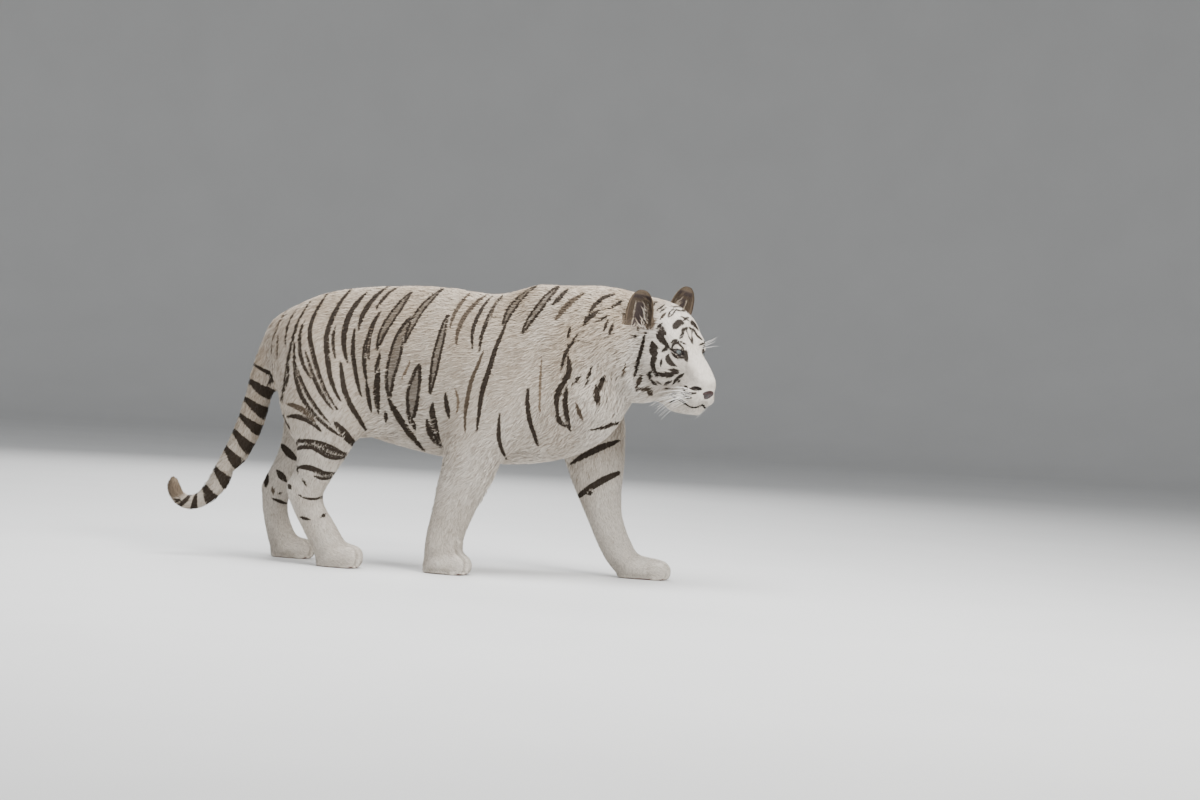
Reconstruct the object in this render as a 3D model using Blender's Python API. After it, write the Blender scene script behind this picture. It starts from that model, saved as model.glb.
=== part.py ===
"""White tiger in mid-stride, life size, as a still model in named pieces.

Metres, +X towards the nose, +Y to the animal's left, +Z up, floor at Z = 0.
The body is lofted and blown up from simple forms, fused by a voxel remesh, faired, and then parted
into head, neck, trunk, legs and tail by cutters that leave a hair-thin gap. Surfaces stand at the
tips of the coat, not at the skin.
"""

import math

import bmesh
import bpy
from mathutils import Matrix, Vector

# Driving dimensions.
GAP = 0.0003  # between neighbouring pieces
VOXEL = 0.0075  # fusing grid
FAIRING = 0.6
FAIRING_STEPS = 17
DETAIL_UNSMOOTHED = 0.55  # share of the fairing that the face and the paws are spared
FACE_UNTHINNED = 0.9
PAW_UNTHINNED = 0.27
FACE_FADES_AT, FACE_FADE = -0.33, 0.12  # along the head's X
PAW_FADES_AT, PAW_FADE = 0.13, 0.05  # height, and over what height
TARGET_TRIANGLES = 4600
DETAIL_KEPT = 0.004  # how strongly the thinning spares the face and feet
RING_POINTS = 28
LOFT_STEPS = 5  # rings between two stations
DOME_ANGLES = (35, 65)  # degrees, of the rings that round off a loft's end

# The head has its own frame: origin in the middle of the nose leather, +X along the muzzle, +Z up.
NOSE_TIP = Vector((0.874, -0.205, 0.658))
HEAD_TURN = math.radians(-46)  # towards the animal's right
HEAD_NOD = math.radians(21)  # nose down
HEAD = Matrix.Translation(NOSE_TIP) @ Matrix.Rotation(HEAD_TURN, 4, "Z") @ Matrix.Rotation(HEAD_NOD, 4, "Y")
HEAD_INVERSE = HEAD.inverted()

HEAD_BOX_CENTRE = Vector((-0.050, 0.020, 0.060))
HEAD_BOX_SIZE = (0.60, 0.38, 0.48)

EYE_RADIUS = 0.0175
EYE_CENTRE = Vector((-0.1390, 0.0530, 0.0910))  # left eye, in the head's frame
GAZE_OUT = math.radians(27)  # between the gaze of each eye and the muzzle
SOCKET_REACH = 0.05

EAR_ROOT = {"left": Vector((-0.300, 0.076, 0.112)), "right": Vector((-0.276, -0.126, 0.093))}  # head's frame
EAR_HEIGHT = 0.146
EAR_HALF_WIDTH = 0.050
EAR_CUP = 0.038  # depth of the hollow
EAR_WALL = 0.012
EAR_TURN = {"left": math.radians(-12), "right": math.radians(55)}  # of the hollow, from forward to outward
EAR_SWEEP = math.radians(-9)  # tip backwards
EAR_LEAN = {"left": math.radians(9), "right": math.radians(4)}  # tip outwards
EAR_ROOT_REACH = 0.25  # share of the height that the shell goes on below its root, into the head
EAR_WIDEST = 0.38  # share of the height
EAR_TIP_ROUNDNESS = 0.65
EAR_FULLNESS = 2.2  # power of the outline's curve: 2 is an ellipse
EAR_OPENING_OUT = 0.55  # share of its depth that the hollow loses by the tip
EAR_LIP = 0.4  # share of the wall that the hollow's rim is narrower than the back
EAR_ROWS, EAR_COLUMNS = 9, 10

EYE_SEGMENTS = 14
EYE_RINGS = 8

# Trunk stations: x, back line, belly line, half width.
TRUNK = (
    (-0.600, 0.770, 0.640, 0.070),
    (-0.578, 0.815, 0.580, 0.112),
    (-0.527, 0.868, 0.520, 0.150),
    (-0.440, 0.914, 0.480, 0.168),
    (-0.320, 0.942, 0.455, 0.176),
    (-0.180, 0.957, 0.418, 0.190),
    (-0.030, 0.962, 0.388, 0.206),
    (0.090, 0.951, 0.374, 0.208),
    (0.165, 0.949, 0.370, 0.200),
    (0.240, 0.973, 0.372, 0.190),
    (0.330, 0.992, 0.382, 0.180),
    (0.430, 0.988, 0.408, 0.170),
    (0.510, 0.964, 0.450, 0.150),
    (0.570, 0.900, 0.500, 0.110),
    (0.596, 0.800, 0.560, 0.060),
)

TRUNK_WAIST = 0.47  # height of the widest place, as a share of the section
TRUNK_FULLNESS = 0.9  # 1 is an ellipse, less is fuller

# Limb stations: x, y, z, half depth fore and aft, half width.
NECK = (
    (0.340, 0.000, 0.772, 0.210, 0.160),
    (0.450, 0.000, 0.790, 0.206, 0.158),
    (0.550, -0.004, 0.800, 0.198, 0.150),
    (0.640, -0.014, 0.808, 0.174, 0.122),
    (0.700, -0.034, 0.812, 0.145, 0.100),
)
TAIL = (
    (-0.530, 0.000, 0.812, 0.054, 0.056),
    (-0.576, 0.000, 0.782, 0.047, 0.050),
    (-0.603, 0.000, 0.722, 0.043, 0.045),
    (-0.625, 0.000, 0.645, 0.044, 0.044),
    (-0.638, 0.000, 0.560, 0.046, 0.046),
    (-0.654, 0.000, 0.490, 0.048, 0.048),
    (-0.674, -0.001, 0.422, 0.047, 0.047),
    (-0.704, -0.003, 0.355, 0.044, 0.044),
    (-0.738, -0.005, 0.290, 0.041, 0.041),
    (-0.772, -0.008, 0.232, 0.036, 0.036),
    (-0.808, -0.012, 0.190, 0.031, 0.031),
    (-0.850, -0.018, 0.176, 0.029, 0.029),
    (-0.886, -0.030, 0.192, 0.029, 0.029),
    (-0.902, -0.046, 0.226, 0.030, 0.030),
    (-0.903, -0.056, 0.252, 0.024, 0.024),
)
FORELEG_RIGHT = (
    (0.330, -0.105, 0.780, 0.125, 0.062),
    (0.275, -0.130, 0.650, 0.140, 0.066),
    (0.185, -0.146, 0.545, 0.135, 0.068),
    (0.120, -0.154, 0.450, 0.110, 0.066),
    (0.094, -0.153, 0.345, 0.093, 0.062),
    (0.069, -0.149, 0.272, 0.083, 0.057),
    (0.051, -0.147, 0.210, 0.074, 0.053),
    (0.036, -0.145, 0.155, 0.068, 0.051),
    (0.026, -0.145, 0.105, 0.066, 0.054),
    (0.024, -0.145, 0.055, 0.064, 0.057),
)
FORELEG_LEFT = (
    (0.390, 0.105, 0.780, 0.120, 0.062),
    (0.440, 0.132, 0.655, 0.134, 0.066),
    (0.480, 0.146, 0.548, 0.132, 0.068),
    (0.512, 0.152, 0.440, 0.111, 0.067),
    (0.526, 0.149, 0.350, 0.097, 0.062),
    (0.543, 0.146, 0.270, 0.076, 0.056),
    (0.562, 0.143, 0.205, 0.063, 0.051),
    (0.586, 0.142, 0.145, 0.058, 0.050),
    (0.612, 0.142, 0.095, 0.056, 0.053),
    (0.640, 0.142, 0.055, 0.052, 0.055),
)
HINDLEG_RIGHT = (
    (-0.440, -0.080, 0.770, 0.130, 0.085),
    (-0.418, -0.105, 0.670, 0.158, 0.092),
    (-0.405, -0.130, 0.575, 0.155, 0.087),
    (-0.400, -0.143, 0.505, 0.142, 0.077),
    (-0.396, -0.149, 0.450, 0.122, 0.067),
    (-0.398, -0.151, 0.398, 0.095, 0.059),
    (-0.412, -0.150, 0.340, 0.074, 0.052),
    (-0.432, -0.147, 0.285, 0.064, 0.046),
    (-0.447, -0.145, 0.243, 0.061, 0.044),
    (-0.433, -0.143, 0.197, 0.055, 0.043),
    (-0.408, -0.142, 0.152, 0.054, 0.045),
    (-0.380, -0.142, 0.108, 0.056, 0.049),
    (-0.356, -0.142, 0.066, 0.056, 0.053),
)
HINDLEG_LEFT = (
    (-0.450, 0.080, 0.770, 0.130, 0.085),
    (-0.440, 0.105, 0.670, 0.150, 0.090),
    (-0.440, 0.128, 0.575, 0.142, 0.085),
    (-0.452, 0.140, 0.505, 0.122, 0.075),
    (-0.470, 0.143, 0.445, 0.104, 0.066),
    (-0.496, 0.143, 0.380, 0.083, 0.057),
    (-0.532, 0.141, 0.312, 0.064, 0.049),
    (-0.566, 0.139, 0.252, 0.059, 0.045),
    (-0.580, 0.137, 0.205, 0.049, 0.042),
    (-0.576, 0.136, 0.155, 0.046, 0.043),
    (-0.563, 0.136, 0.105, 0.047, 0.047),
    (-0.548, 0.136, 0.065, 0.050, 0.052),
)

# Swellings of the body: centre, half sizes, lean in degrees about Y.
BODY_SWELLINGS = (
    ((0.320, -0.058, 0.845), (0.125, 0.092, 0.150), -14),  # right shoulder blade
    ((0.352, 0.058, 0.845), (0.125, 0.092, 0.150), -10),  # left shoulder blade
    ((0.455, -0.085, 0.620), (0.120, 0.085, 0.130), 0),  # right point of the shoulder
    ((0.480, 0.085, 0.620), (0.130, 0.085, 0.130), 0),  # left point of the shoulder
    ((0.062, -0.148, 0.468), (0.050, 0.042, 0.075), 12),  # right elbow
    ((0.430, 0.146, 0.455), (0.048, 0.042, 0.070), 0),  # left elbow
    ((-0.490, -0.150, 0.262), (0.027, 0.028, 0.034), 20),  # right hock
    ((-0.612, 0.139, 0.240), (0.024, 0.027, 0.032), 10),  # left hock
    ((-0.300, -0.108, 0.550), (0.155, 0.060, 0.105), 28),  # right fold of the flank
    ((-0.325, 0.108, 0.550), (0.155, 0.060, 0.105), 28),  # left fold of the flank
    ((0.560, 0.000, 0.640), (0.070, 0.110, 0.110), 0),  # breast
)

# Sections in the head's frame: x, top, bottom, half width, height of the widest place, and how
# far the upper half leans from a box (under 1) through an ellipse (1) towards a roof (over 1).
HEAD_SECTIONS = (
    (0.004, 0.022, -0.030, 0.026, -0.004, 0.85),
    (-0.012, 0.038, -0.046, 0.036, -0.006, 0.85),
    (-0.035, 0.053, -0.058, 0.043, -0.008, 0.85),
    (-0.065, 0.070, -0.068, 0.048, -0.006, 0.85),
    (-0.095, 0.086, -0.074, 0.056, -0.004, 0.85),
    (-0.122, 0.103, -0.080, 0.072, 0.000, 0.85),
    (-0.145, 0.130, -0.086, 0.091, 0.002, 0.85),
    (-0.175, 0.168, -0.094, 0.110, 0.000, 0.86),
    (-0.210, 0.197, -0.104, 0.127, -0.010, 0.90),
    (-0.250, 0.210, -0.112, 0.138, -0.022, 1.02),
    (-0.295, 0.211, -0.112, 0.142, -0.030, 1.20),
    (-0.345, 0.203, -0.104, 0.138, -0.025, 1.25),
    (-0.395, 0.188, -0.085, 0.124, -0.010, 1.10),
)
BRIDGE_SECTIONS = (
    (0.012, 0.033, 0.000, 0.030, 0.014, 0.70),
    (-0.004, 0.048, -0.010, 0.039, 0.015, 0.70),
    (-0.030, 0.066, 0.000, 0.044, 0.030, 0.70),
    (-0.060, 0.082, 0.010, 0.047, 0.045, 0.70),
    (-0.090, 0.096, 0.020, 0.050, 0.055, 0.70),
    (-0.120, 0.112, 0.030, 0.056, 0.065, 0.70),
    (-0.150, 0.140, 0.050, 0.062, 0.085, 0.70),
)
LOWER_HALF_SHAPE = 0.88
NOSE_LEATHER_FORM = ((-0.006, 0, -0.002), (0.022, 0.031, 0.022), 24)  # centre, half sizes, lean

# Swellings in the head's frame: centre, half sizes, lean in degrees about Y.
# Those off the middle are made on both sides.
HEAD_SWELLINGS = (
    ((-0.162, 0.046, 0.114), (0.048, 0.040, 0.028), 40),  # brow
    ((-0.195, 0.068, 0.012), (0.094, 0.064, 0.080), 0),  # cheek bone
    ((-0.030, 0.032, -0.027), (0.043, 0.030, 0.032), 8),  # whisker pad
    ((-0.030, 0.000, -0.075), (0.039, 0.035, 0.031), 10),  # chin
    ((-0.110, 0.022, -0.078), (0.092, 0.044, 0.037), 4),  # lower jaw
    ((-0.225, 0.074, -0.068), (0.085, 0.068, 0.070), -10),  # cheek ruff in front
    ((-0.280, 0.086, -0.040), (0.090, 0.076, 0.112), -10),  # cheek ruff behind
)

# Paws: sole centre, half length, half width, height, and the paw's turn about Z in degrees.
PAWS = {
    "forepaw_right": ((0.040, -0.147), 0.086, 0.068, 0.078, -6),
    "forepaw_left": ((0.706, 0.142), 0.096, 0.070, 0.078, 4),
    "hindpaw_right": ((-0.322, -0.142), 0.082, 0.061, 0.088, -4),
    "hindpaw_left": ((-0.510, 0.136), 0.080, 0.061, 0.076, 3),
}
TOE_SPREAD = (-0.69, -0.25, 0.25, 0.69)  # across the paw, in half widths
TOE_REACH = (0.66, 0.86, 0.86, 0.66)  # towards the tip, in half lengths
# Shares of a paw's half length, half width and height: centre fore and aft and up, then half sizes.
FOOT_MASS = ((-0.10, 0.42), (0.84, 1.00, 0.60))
FOOT_HEEL = ((-0.62, 0.25), (0.36, 0.72, 0.38))
TOE = ((-0.28, 0.37), (0.42, 0.285, 0.50))
TOE_DROOP = 12  # degrees

COAT = {"colour": (0.62, 0.58, 0.53, 1.0), "roughness": 0.85}
EAR_COAT = {"colour": (0.30, 0.25, 0.21, 1.0), "roughness": 0.85}
TAIL_COAT = {"colour": (0.50, 0.46, 0.42, 1.0), "roughness": 0.85}
IRIS = {"colour": (0.33, 0.46, 0.52, 1.0), "roughness": 0.08}
NOSE_LEATHER = {"colour": (0.20, 0.10, 0.10, 1.0), "roughness": 0.45}


def clear_scene():
    for obj in list(bpy.data.objects):
        bpy.data.objects.remove(obj)


def material(name, colour, roughness):
    made = bpy.data.materials.new(name)
    made.use_nodes = True
    shader = made.node_tree.nodes["Principled BSDF"]
    shader.inputs["Base Color"].default_value = colour
    shader.inputs["Roughness"].default_value = roughness
    shader.inputs["Metallic"].default_value = 0.0
    return made


def object_from(name, mesh):
    obj = bpy.data.objects.new(name, mesh)
    bpy.context.scene.collection.objects.link(obj)
    return obj


def evaluated_copy(obj):
    """The object's mesh with its modifiers applied."""
    bpy.context.view_layer.update()
    graph = bpy.context.evaluated_depsgraph_get()
    return bpy.data.meshes.new_from_object(obj.evaluated_get(graph))


def between(t, before, here, after, beyond):
    """A Catmull-Rom curve's value at t, from 0 here to 1 after."""
    slope = (after - before) * t
    bend = (2 * before - 5 * here + 4 * after - beyond) * t**2
    turn = (3 * here - before - 3 * after + beyond) * t**3
    return 0.5 * (2 * here + slope + bend + turn)


def catmull_rom(rows, steps=LOFT_STEPS):
    """Rows of numbers, with smooth rows put between them."""
    made = []
    for i in range(len(rows) - 1):
        around = rows[max(i - 1, 0)], rows[i], rows[i + 1], rows[min(i + 2, len(rows) - 1)]
        for step in range(steps):
            made.append(tuple(between(step / steps, *four) for four in zip(*around)))
    made.append(tuple(rows[-1]))
    return made


def loft(rings):
    """A closed mesh through rings of points, its ends closed by fans."""
    bm = bmesh.new()
    loops = [[bm.verts.new(p) for p in ring] for ring in rings]
    for low, high in zip(loops, loops[1:]):
        for i in range(len(low)):
            j = (i + 1) % len(low)
            bm.faces.new((low[i], low[j], high[j], high[i]))
    for ring in (loops[0], loops[-1]):
        middle = bm.verts.new(sum((v.co for v in ring), Vector()) / len(ring))
        for i in range(len(ring)):
            bm.faces.new((ring[i], ring[(i + 1) % len(ring)], middle))
    bmesh.ops.recalc_face_normals(bm, faces=bm.faces)
    return bm


def domed(stations):
    """Stations with two smaller rings beyond each end, so that a loft ends round and not flat."""
    rows = catmull_rom(stations)
    ends = []
    for end, inner in ((rows[0], rows[1]), (rows[-1], rows[-2])):
        out = Vector(end[:3]) - Vector(inner[:3])
        out.normalize()
        reach = min(end[3], end[4])
        caps = []
        for angle in DOME_ANGLES:
            along = math.sin(math.radians(angle)) * reach
            shrink = math.cos(math.radians(angle))
            centre = Vector(end[:3]) + out * along
            caps.append((*centre, end[3] * shrink, end[4] * shrink))
        ends.append(caps)
    return [*reversed(ends[0]), *rows, *ends[1]]


def limb(stations):
    """A lofted limb whose rings stand square to its path, with their width along Y."""
    rows = domed(stations)
    rings = []
    for i, (x, y, z, depth, width) in enumerate(rows):
        ahead = Vector(rows[min(i + 1, len(rows) - 1)][:3])
        behind = Vector(rows[max(i - 1, 0)][:3])
        along = (ahead - behind).normalized()
        across = (Vector((0, 1, 0)) - along * along.y).normalized()
        deep = along.cross(across)
        centre = Vector((x, y, z))
        rings.append(
            [
                centre + across * width * math.cos(a) + deep * depth * math.sin(a)
                for a in (2 * math.pi * k / RING_POINTS for k in range(RING_POINTS))
            ]
        )
    return loft(rings)


def trunk():
    """The barrel of the body: egg-shaped rings, fuller below the middle and narrow along the spine."""
    rings = []
    for x, back, belly, width in catmull_rom(TRUNK):
        middle = belly + TRUNK_WAIST * (back - belly)
        ring = []
        for k in range(RING_POINTS):
            a = 2 * math.pi * k / RING_POINTS
            rise = (back - middle) if math.sin(a) > 0 else (middle - belly)
            side = math.copysign(abs(math.cos(a)) ** TRUNK_FULLNESS, math.cos(a))
            ring.append(Vector((x, width * side, middle + rise * math.sin(a))))
        rings.append(ring)
    return loft(rings)


def ellipsoid(centre, half_sizes, lean_deg=0.0, subdivisions=3):
    bm = bmesh.new()
    bmesh.ops.create_icosphere(bm, subdivisions=subdivisions, radius=1.0)
    place = (
        Matrix.Translation(centre)
        @ Matrix.Rotation(math.radians(lean_deg), 4, "Y")
        @ Matrix.Diagonal((*half_sizes, 1))
    )
    bmesh.ops.transform(bm, matrix=place, verts=bm.verts)
    return bm


def paw(sole, half_length, half_width, height, turn_deg):
    """A paw's forms: the foot's mass and four toes side by side in front."""
    place = Matrix.Translation((*sole, 0)) @ Matrix.Rotation(math.radians(turn_deg), 4, "Z")
    unit = Matrix.Diagonal((half_length, half_width, height))
    forms = [
        ellipsoid(unit @ Vector((ahead, 0, up)), unit @ Vector(sizes))
        for (ahead, up), sizes in (FOOT_MASS, FOOT_HEEL)
    ]
    (back_off, up), sizes = TOE
    for spread, reach in zip(TOE_SPREAD, TOE_REACH):
        forms.append(ellipsoid(unit @ Vector((reach + back_off, spread, up)), unit @ Vector(sizes), TOE_DROOP))
    for bm in forms:
        bmesh.ops.transform(bm, matrix=place, verts=bm.verts)
    return forms


def rounded_sections(sections):
    """A loft of rounded sections along X, in the head's frame."""
    rings = []
    for x, top, bottom, width, waist, upper_shape in catmull_rom(sections):
        ring = []
        for k in range(RING_POINTS):
            a = 2 * math.pi * k / RING_POINTS
            upper = math.sin(a) > 0
            rise = (top - waist) if upper else (waist - bottom)
            shape = upper_shape if upper else LOWER_HALF_SHAPE
            across = math.copysign(abs(math.cos(a)) ** shape, math.cos(a))
            up = math.copysign(abs(math.sin(a)) ** shape, math.sin(a))
            ring.append(Vector((x, width * across, waist + rise * up)))
        rings.append(ring)
    return loft(rings)


def head_forms():
    """The head's forms, placed in the body's frame, without the ears."""
    forms = [rounded_sections(HEAD_SECTIONS), rounded_sections(BRIDGE_SECTIONS)]
    for (x, y, z), half_sizes, lean in HEAD_SWELLINGS:
        for side in (1, -1) if y else (1,):
            forms.append(ellipsoid((x, side * y, z), half_sizes, lean))
    for bm in forms:
        bmesh.ops.transform(bm, matrix=HEAD, verts=bm.verts)
    return forms


def body_forms():
    limbs = (NECK, TAIL, FORELEG_RIGHT, FORELEG_LEFT, HINDLEG_RIGHT, HINDLEG_LEFT)
    forms = [trunk(), *(limb(stations) for stations in limbs)]
    forms += [ellipsoid(centre, half_sizes, lean) for centre, half_sizes, lean in BODY_SWELLINGS]
    for sizes in PAWS.values():
        forms += paw(*sizes)
    return forms


def joined_object(name, forms):
    joined = bmesh.new()
    for form in forms:
        mesh = bpy.data.meshes.new(name + "_form")
        form.to_mesh(mesh)
        form.free()
        joined.from_mesh(mesh)
        bpy.data.meshes.remove(mesh)
    mesh = bpy.data.meshes.new(name)
    joined.to_mesh(mesh)
    joined.free()
    return object_from(name, mesh)


def nearness_to_head(point):
    """1 on the face, where detail is kept, falling to 0 behind the head."""
    local = HEAD_INVERSE @ point
    return max(0.0, min(1.0, (local.x - FACE_FADES_AT) / FACE_FADE))


def nearness_to_paw(point):
    return max(0.0, min(1.0, (PAW_FADES_AT - point.z) / PAW_FADE))


def fused_body():
    """The whole animal without ears and eyes: forms fused, faired, thinned and set flat on the floor."""
    whole = joined_object("whole", head_forms() + body_forms())
    remesh = whole.modifiers.new("fuse", "REMESH")
    remesh.mode = "VOXEL"
    remesh.voxel_size = VOXEL
    fused = object_from("fused", evaluated_copy(whole))

    softness = fused.vertex_groups.new(name="softness")
    plainness = fused.vertex_groups.new(name="plainness")
    for vertex in fused.data.vertices:
        head, foot = nearness_to_head(vertex.co), nearness_to_paw(vertex.co)
        softness.add([vertex.index], 1.0 - DETAIL_UNSMOOTHED * max(head, foot), "REPLACE")
        plainness.add([vertex.index], 1.0 - max(FACE_UNTHINNED * head, PAW_UNTHINNED * foot), "REPLACE")
    fair = fused.modifiers.new("fair", "SMOOTH")
    fair.factor = FAIRING
    fair.iterations = FAIRING_STEPS
    fair.vertex_group = softness.name
    thin = fused.modifiers.new("thin", "DECIMATE")
    faces = sum(len(p.vertices) - 2 for p in fused.data.polygons)
    thin.ratio = TARGET_TRIANGLES / faces
    thin.vertex_group = plainness.name
    thin.vertex_group_factor = DETAIL_KEPT
    mesh = evaluated_copy(fused)

    bm = bmesh.new()
    bm.from_mesh(mesh)
    everything = [*bm.verts, *bm.edges, *bm.faces]
    cut = bmesh.ops.bisect_plane(
        bm, geom=everything, plane_co=(0, 0, 0), plane_no=(0, 0, 1), clear_inner=True, dist=1e-5
    )
    rims = [e for e in cut["geom_cut"] if isinstance(e, bmesh.types.BMEdge)]
    bmesh.ops.edgeloop_fill(bm, edges=rims)
    bmesh.ops.recalc_face_normals(bm, faces=bm.faces)
    bmesh.ops.triangulate(bm, faces=bm.faces)
    bm.to_mesh(mesh)
    bm.free()
    for guide in (whole, fused):
        bpy.data.objects.remove(guide)
    return mesh


def box(centre, size, lean_deg=0.0):
    """A cutter's box as bmesh: centre, full sizes, lean about Y."""
    bm = bmesh.new()
    bmesh.ops.create_cube(bm, size=1.0)
    place = (
        Matrix.Translation(centre)
        @ Matrix.Rotation(math.radians(lean_deg), 4, "Y")
        @ Matrix.Diagonal((*size, 1))
    )
    bmesh.ops.transform(bm, matrix=place, verts=bm.verts)
    return bm


def head_box():
    """The head's share of the whole: a box square to the head, from behind the ears forward."""
    bm = box(HEAD_BOX_CENTRE, HEAD_BOX_SIZE)
    bmesh.ops.transform(bm, matrix=HEAD, verts=bm.verts)
    return bm


def nose_form():
    bm = ellipsoid(*NOSE_LEATHER_FORM, subdivisions=2)
    bmesh.ops.transform(bm, matrix=HEAD, verts=bm.verts)
    return bm


# Pieces in the order they are cut off the whole; what is left over is the last trunk piece.
CUTTERS = (
    ("nose_pad", nose_form),
    ("head", head_box),
    ("tail_tip", lambda: box((-0.930, -0.03, 0.220), (0.180, 0.20, 0.30))),
    ("tail_end", lambda: box((-0.845, 0, 0.140), (0.260, 0.20, 0.340))),
    ("tail_middle", lambda: box((-0.760, 0, 0.400), (0.260, 0.24, 0.185))),
    ("tail_root", lambda: box((-0.720, 0, 0.600), (0.200, 0.12, 0.300), 8)),
    ("forepaw_right", lambda: box((0.040, -0.150, 0.000), (0.260, 0.200, 0.180))),
    ("forepaw_left", lambda: box((0.710, 0.150, 0.000), (0.300, 0.200, 0.190), -12)),
    ("hindpaw_right", lambda: box((-0.330, -0.150, -0.010), (0.260, 0.200, 0.200), -14)),
    ("hindpaw_left", lambda: box((-0.510, 0.150, -0.010), (0.240, 0.200, 0.200), -8)),
    ("foreleg_right", lambda: box((0.050, -0.215, 0.206), (0.520, 0.330, 0.322), -4)),
    ("foreleg_left", lambda: box((0.560, 0.215, 0.211), (0.520, 0.330, 0.322), 6)),
    ("shank_right", lambda: box((-0.420, -0.150, 0.200), (0.300, 0.290, 0.400), 8)),
    ("shank_left", lambda: box((-0.520, 0.150, 0.200), (0.320, 0.290, 0.400), 8)),
    ("neck", lambda: box((0.750, 0, 0.820), (0.520, 0.60, 0.700), 24)),
    ("chest", lambda: box((0.430, 0, 0.650), (0.660, 0.60, 0.800))),
    ("belly", lambda: box((-0.090, 0, 0.700), (0.380, 0.60, 0.700))),
)
LAST_PIECE = "rump"


def cutter_object(name, bm, grow):
    """A helper object made from a cutter's form, its walls moved out by grow."""
    mesh = bpy.data.meshes.new(name)
    if grow:
        bmesh.ops.recalc_face_normals(bm, faces=bm.faces)
        moves = [(v, v.normal.copy() * grow * v.calc_shell_factor()) for v in bm.verts]
        for vertex, move in moves:
            vertex.co += move
    bm.to_mesh(mesh)
    bm.free()
    helper = object_from(name, mesh)
    helper.hide_render = True
    helper.display_type = "WIRE"
    return helper


def combined(mesh, helper, operation):
    """The mesh after a Boolean with the helper."""
    target = object_from("target", mesh)
    boolean = target.modifiers.new("cut", "BOOLEAN")
    boolean.operation = operation
    boolean.object = helper
    made = evaluated_copy(target)
    bpy.data.objects.remove(target)
    return made


def largest_body(mesh):
    """Keeps the largest connected part of a mesh, and drops slivers that a cut has freed."""
    bm = bmesh.new()
    bm.from_mesh(mesh)
    left = set(bm.verts)
    islands = []
    while left:
        island, queue = set(), [left.pop()]
        while queue:
            vertex = queue.pop()
            island.add(vertex)
            for edge in vertex.link_edges:
                other = edge.other_vert(vertex)
                if other in left:
                    left.remove(other)
                    queue.append(other)
        islands.append(island)
    islands.sort(key=len)
    for island in islands[:-1]:
        bmesh.ops.delete(bm, geom=list(island), context="VERTS")
    bm.to_mesh(mesh)
    bm.free()
    return mesh


def parted(whole):
    """The whole mesh cut into its named pieces, with GAP between neighbours."""
    pieces = {}
    rest = whole
    for name, make_form in CUTTERS:
        inner = cutter_object(name + "_cutter", make_form(), 0.0)
        outer = cutter_object(name + "_clearance", make_form(), GAP)
        pieces[name] = largest_body(combined(rest, inner, "INTERSECT"))
        rest = combined(rest, outer, "DIFFERENCE")
        for helper in (inner, outer):
            bpy.data.objects.remove(helper)
    pieces[LAST_PIECE] = largest_body(rest)
    return pieces


def ear_form(side):
    """A cupped ear: a rounded shell whose hollow faces forward and outward. side is 1 for the left."""
    bm = bmesh.new()
    outer, inner = [], []
    for i in range(EAR_ROWS):
        t = (1 + EAR_ROOT_REACH) * i / (EAR_ROWS - 1) - EAR_ROOT_REACH
        off = abs((t - EAR_WIDEST) / EAR_TIP_ROUNDNESS)
        width = EAR_HALF_WIDTH * max(0.0, 1 - off**EAR_FULLNESS) ** (1 / EAR_FULLNESS)
        cup = EAR_CUP * (1 - EAR_OPENING_OUT * t) * width / EAR_HALF_WIDTH
        lip = EAR_LIP * EAR_WALL
        narrow = max(0.0, 1 - lip / max(width, EAR_WALL))
        back_row, front_row = [], []
        for j in range(EAR_COLUMNS):
            a = math.pi * j / (EAR_COLUMNS - 1)
            across = -math.cos(a) * width
            depth = -math.sin(a) * cup
            back_row.append(bm.verts.new((depth - EAR_WALL, across, t * EAR_HEIGHT)))
            front_row.append(bm.verts.new((depth, across * narrow, t * EAR_HEIGHT - lip * max(t, 0.0))))
        outer.append(back_row)
        inner.append(front_row)
    for i in range(EAR_ROWS - 1):
        for j in range(EAR_COLUMNS - 1):
            bm.faces.new((outer[i][j], outer[i + 1][j], outer[i + 1][j + 1], outer[i][j + 1]))
            bm.faces.new((inner[i][j], inner[i][j + 1], inner[i + 1][j + 1], inner[i + 1][j]))
    for i in range(EAR_ROWS - 1):
        bm.faces.new((outer[i][0], inner[i][0], inner[i + 1][0], outer[i + 1][0]))
        bm.faces.new((outer[i][-1], outer[i + 1][-1], inner[i + 1][-1], inner[i][-1]))
    for j in range(EAR_COLUMNS - 1):
        bm.faces.new((outer[-1][j], inner[-1][j], inner[-1][j + 1], outer[-1][j + 1]))
        bm.faces.new((outer[0][j], outer[0][j + 1], inner[0][j + 1], inner[0][j]))
    bmesh.ops.recalc_face_normals(bm, faces=bm.faces)
    name = "left" if side > 0 else "right"
    place = (
        HEAD
        @ Matrix.Translation(EAR_ROOT[name])
        @ Matrix.Rotation(EAR_SWEEP, 4, "Y")
        @ Matrix.Rotation(-side * EAR_LEAN[name], 4, "X")
        @ Matrix.Rotation(side * EAR_TURN[name], 4, "Z")
    )
    bmesh.ops.transform(bm, matrix=place, verts=bm.verts)
    return bm


def eye_place(side):
    """The frame of an eye: origin at the ball's centre, +Z along the gaze."""
    centre = Vector((EYE_CENTRE.x, side * EYE_CENTRE.y, EYE_CENTRE.z))
    gaze = Matrix.Rotation(side * GAZE_OUT, 4, "Z") @ Matrix.Rotation(math.radians(90), 4, "Y")
    return HEAD @ Matrix.Translation(centre) @ gaze


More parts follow.
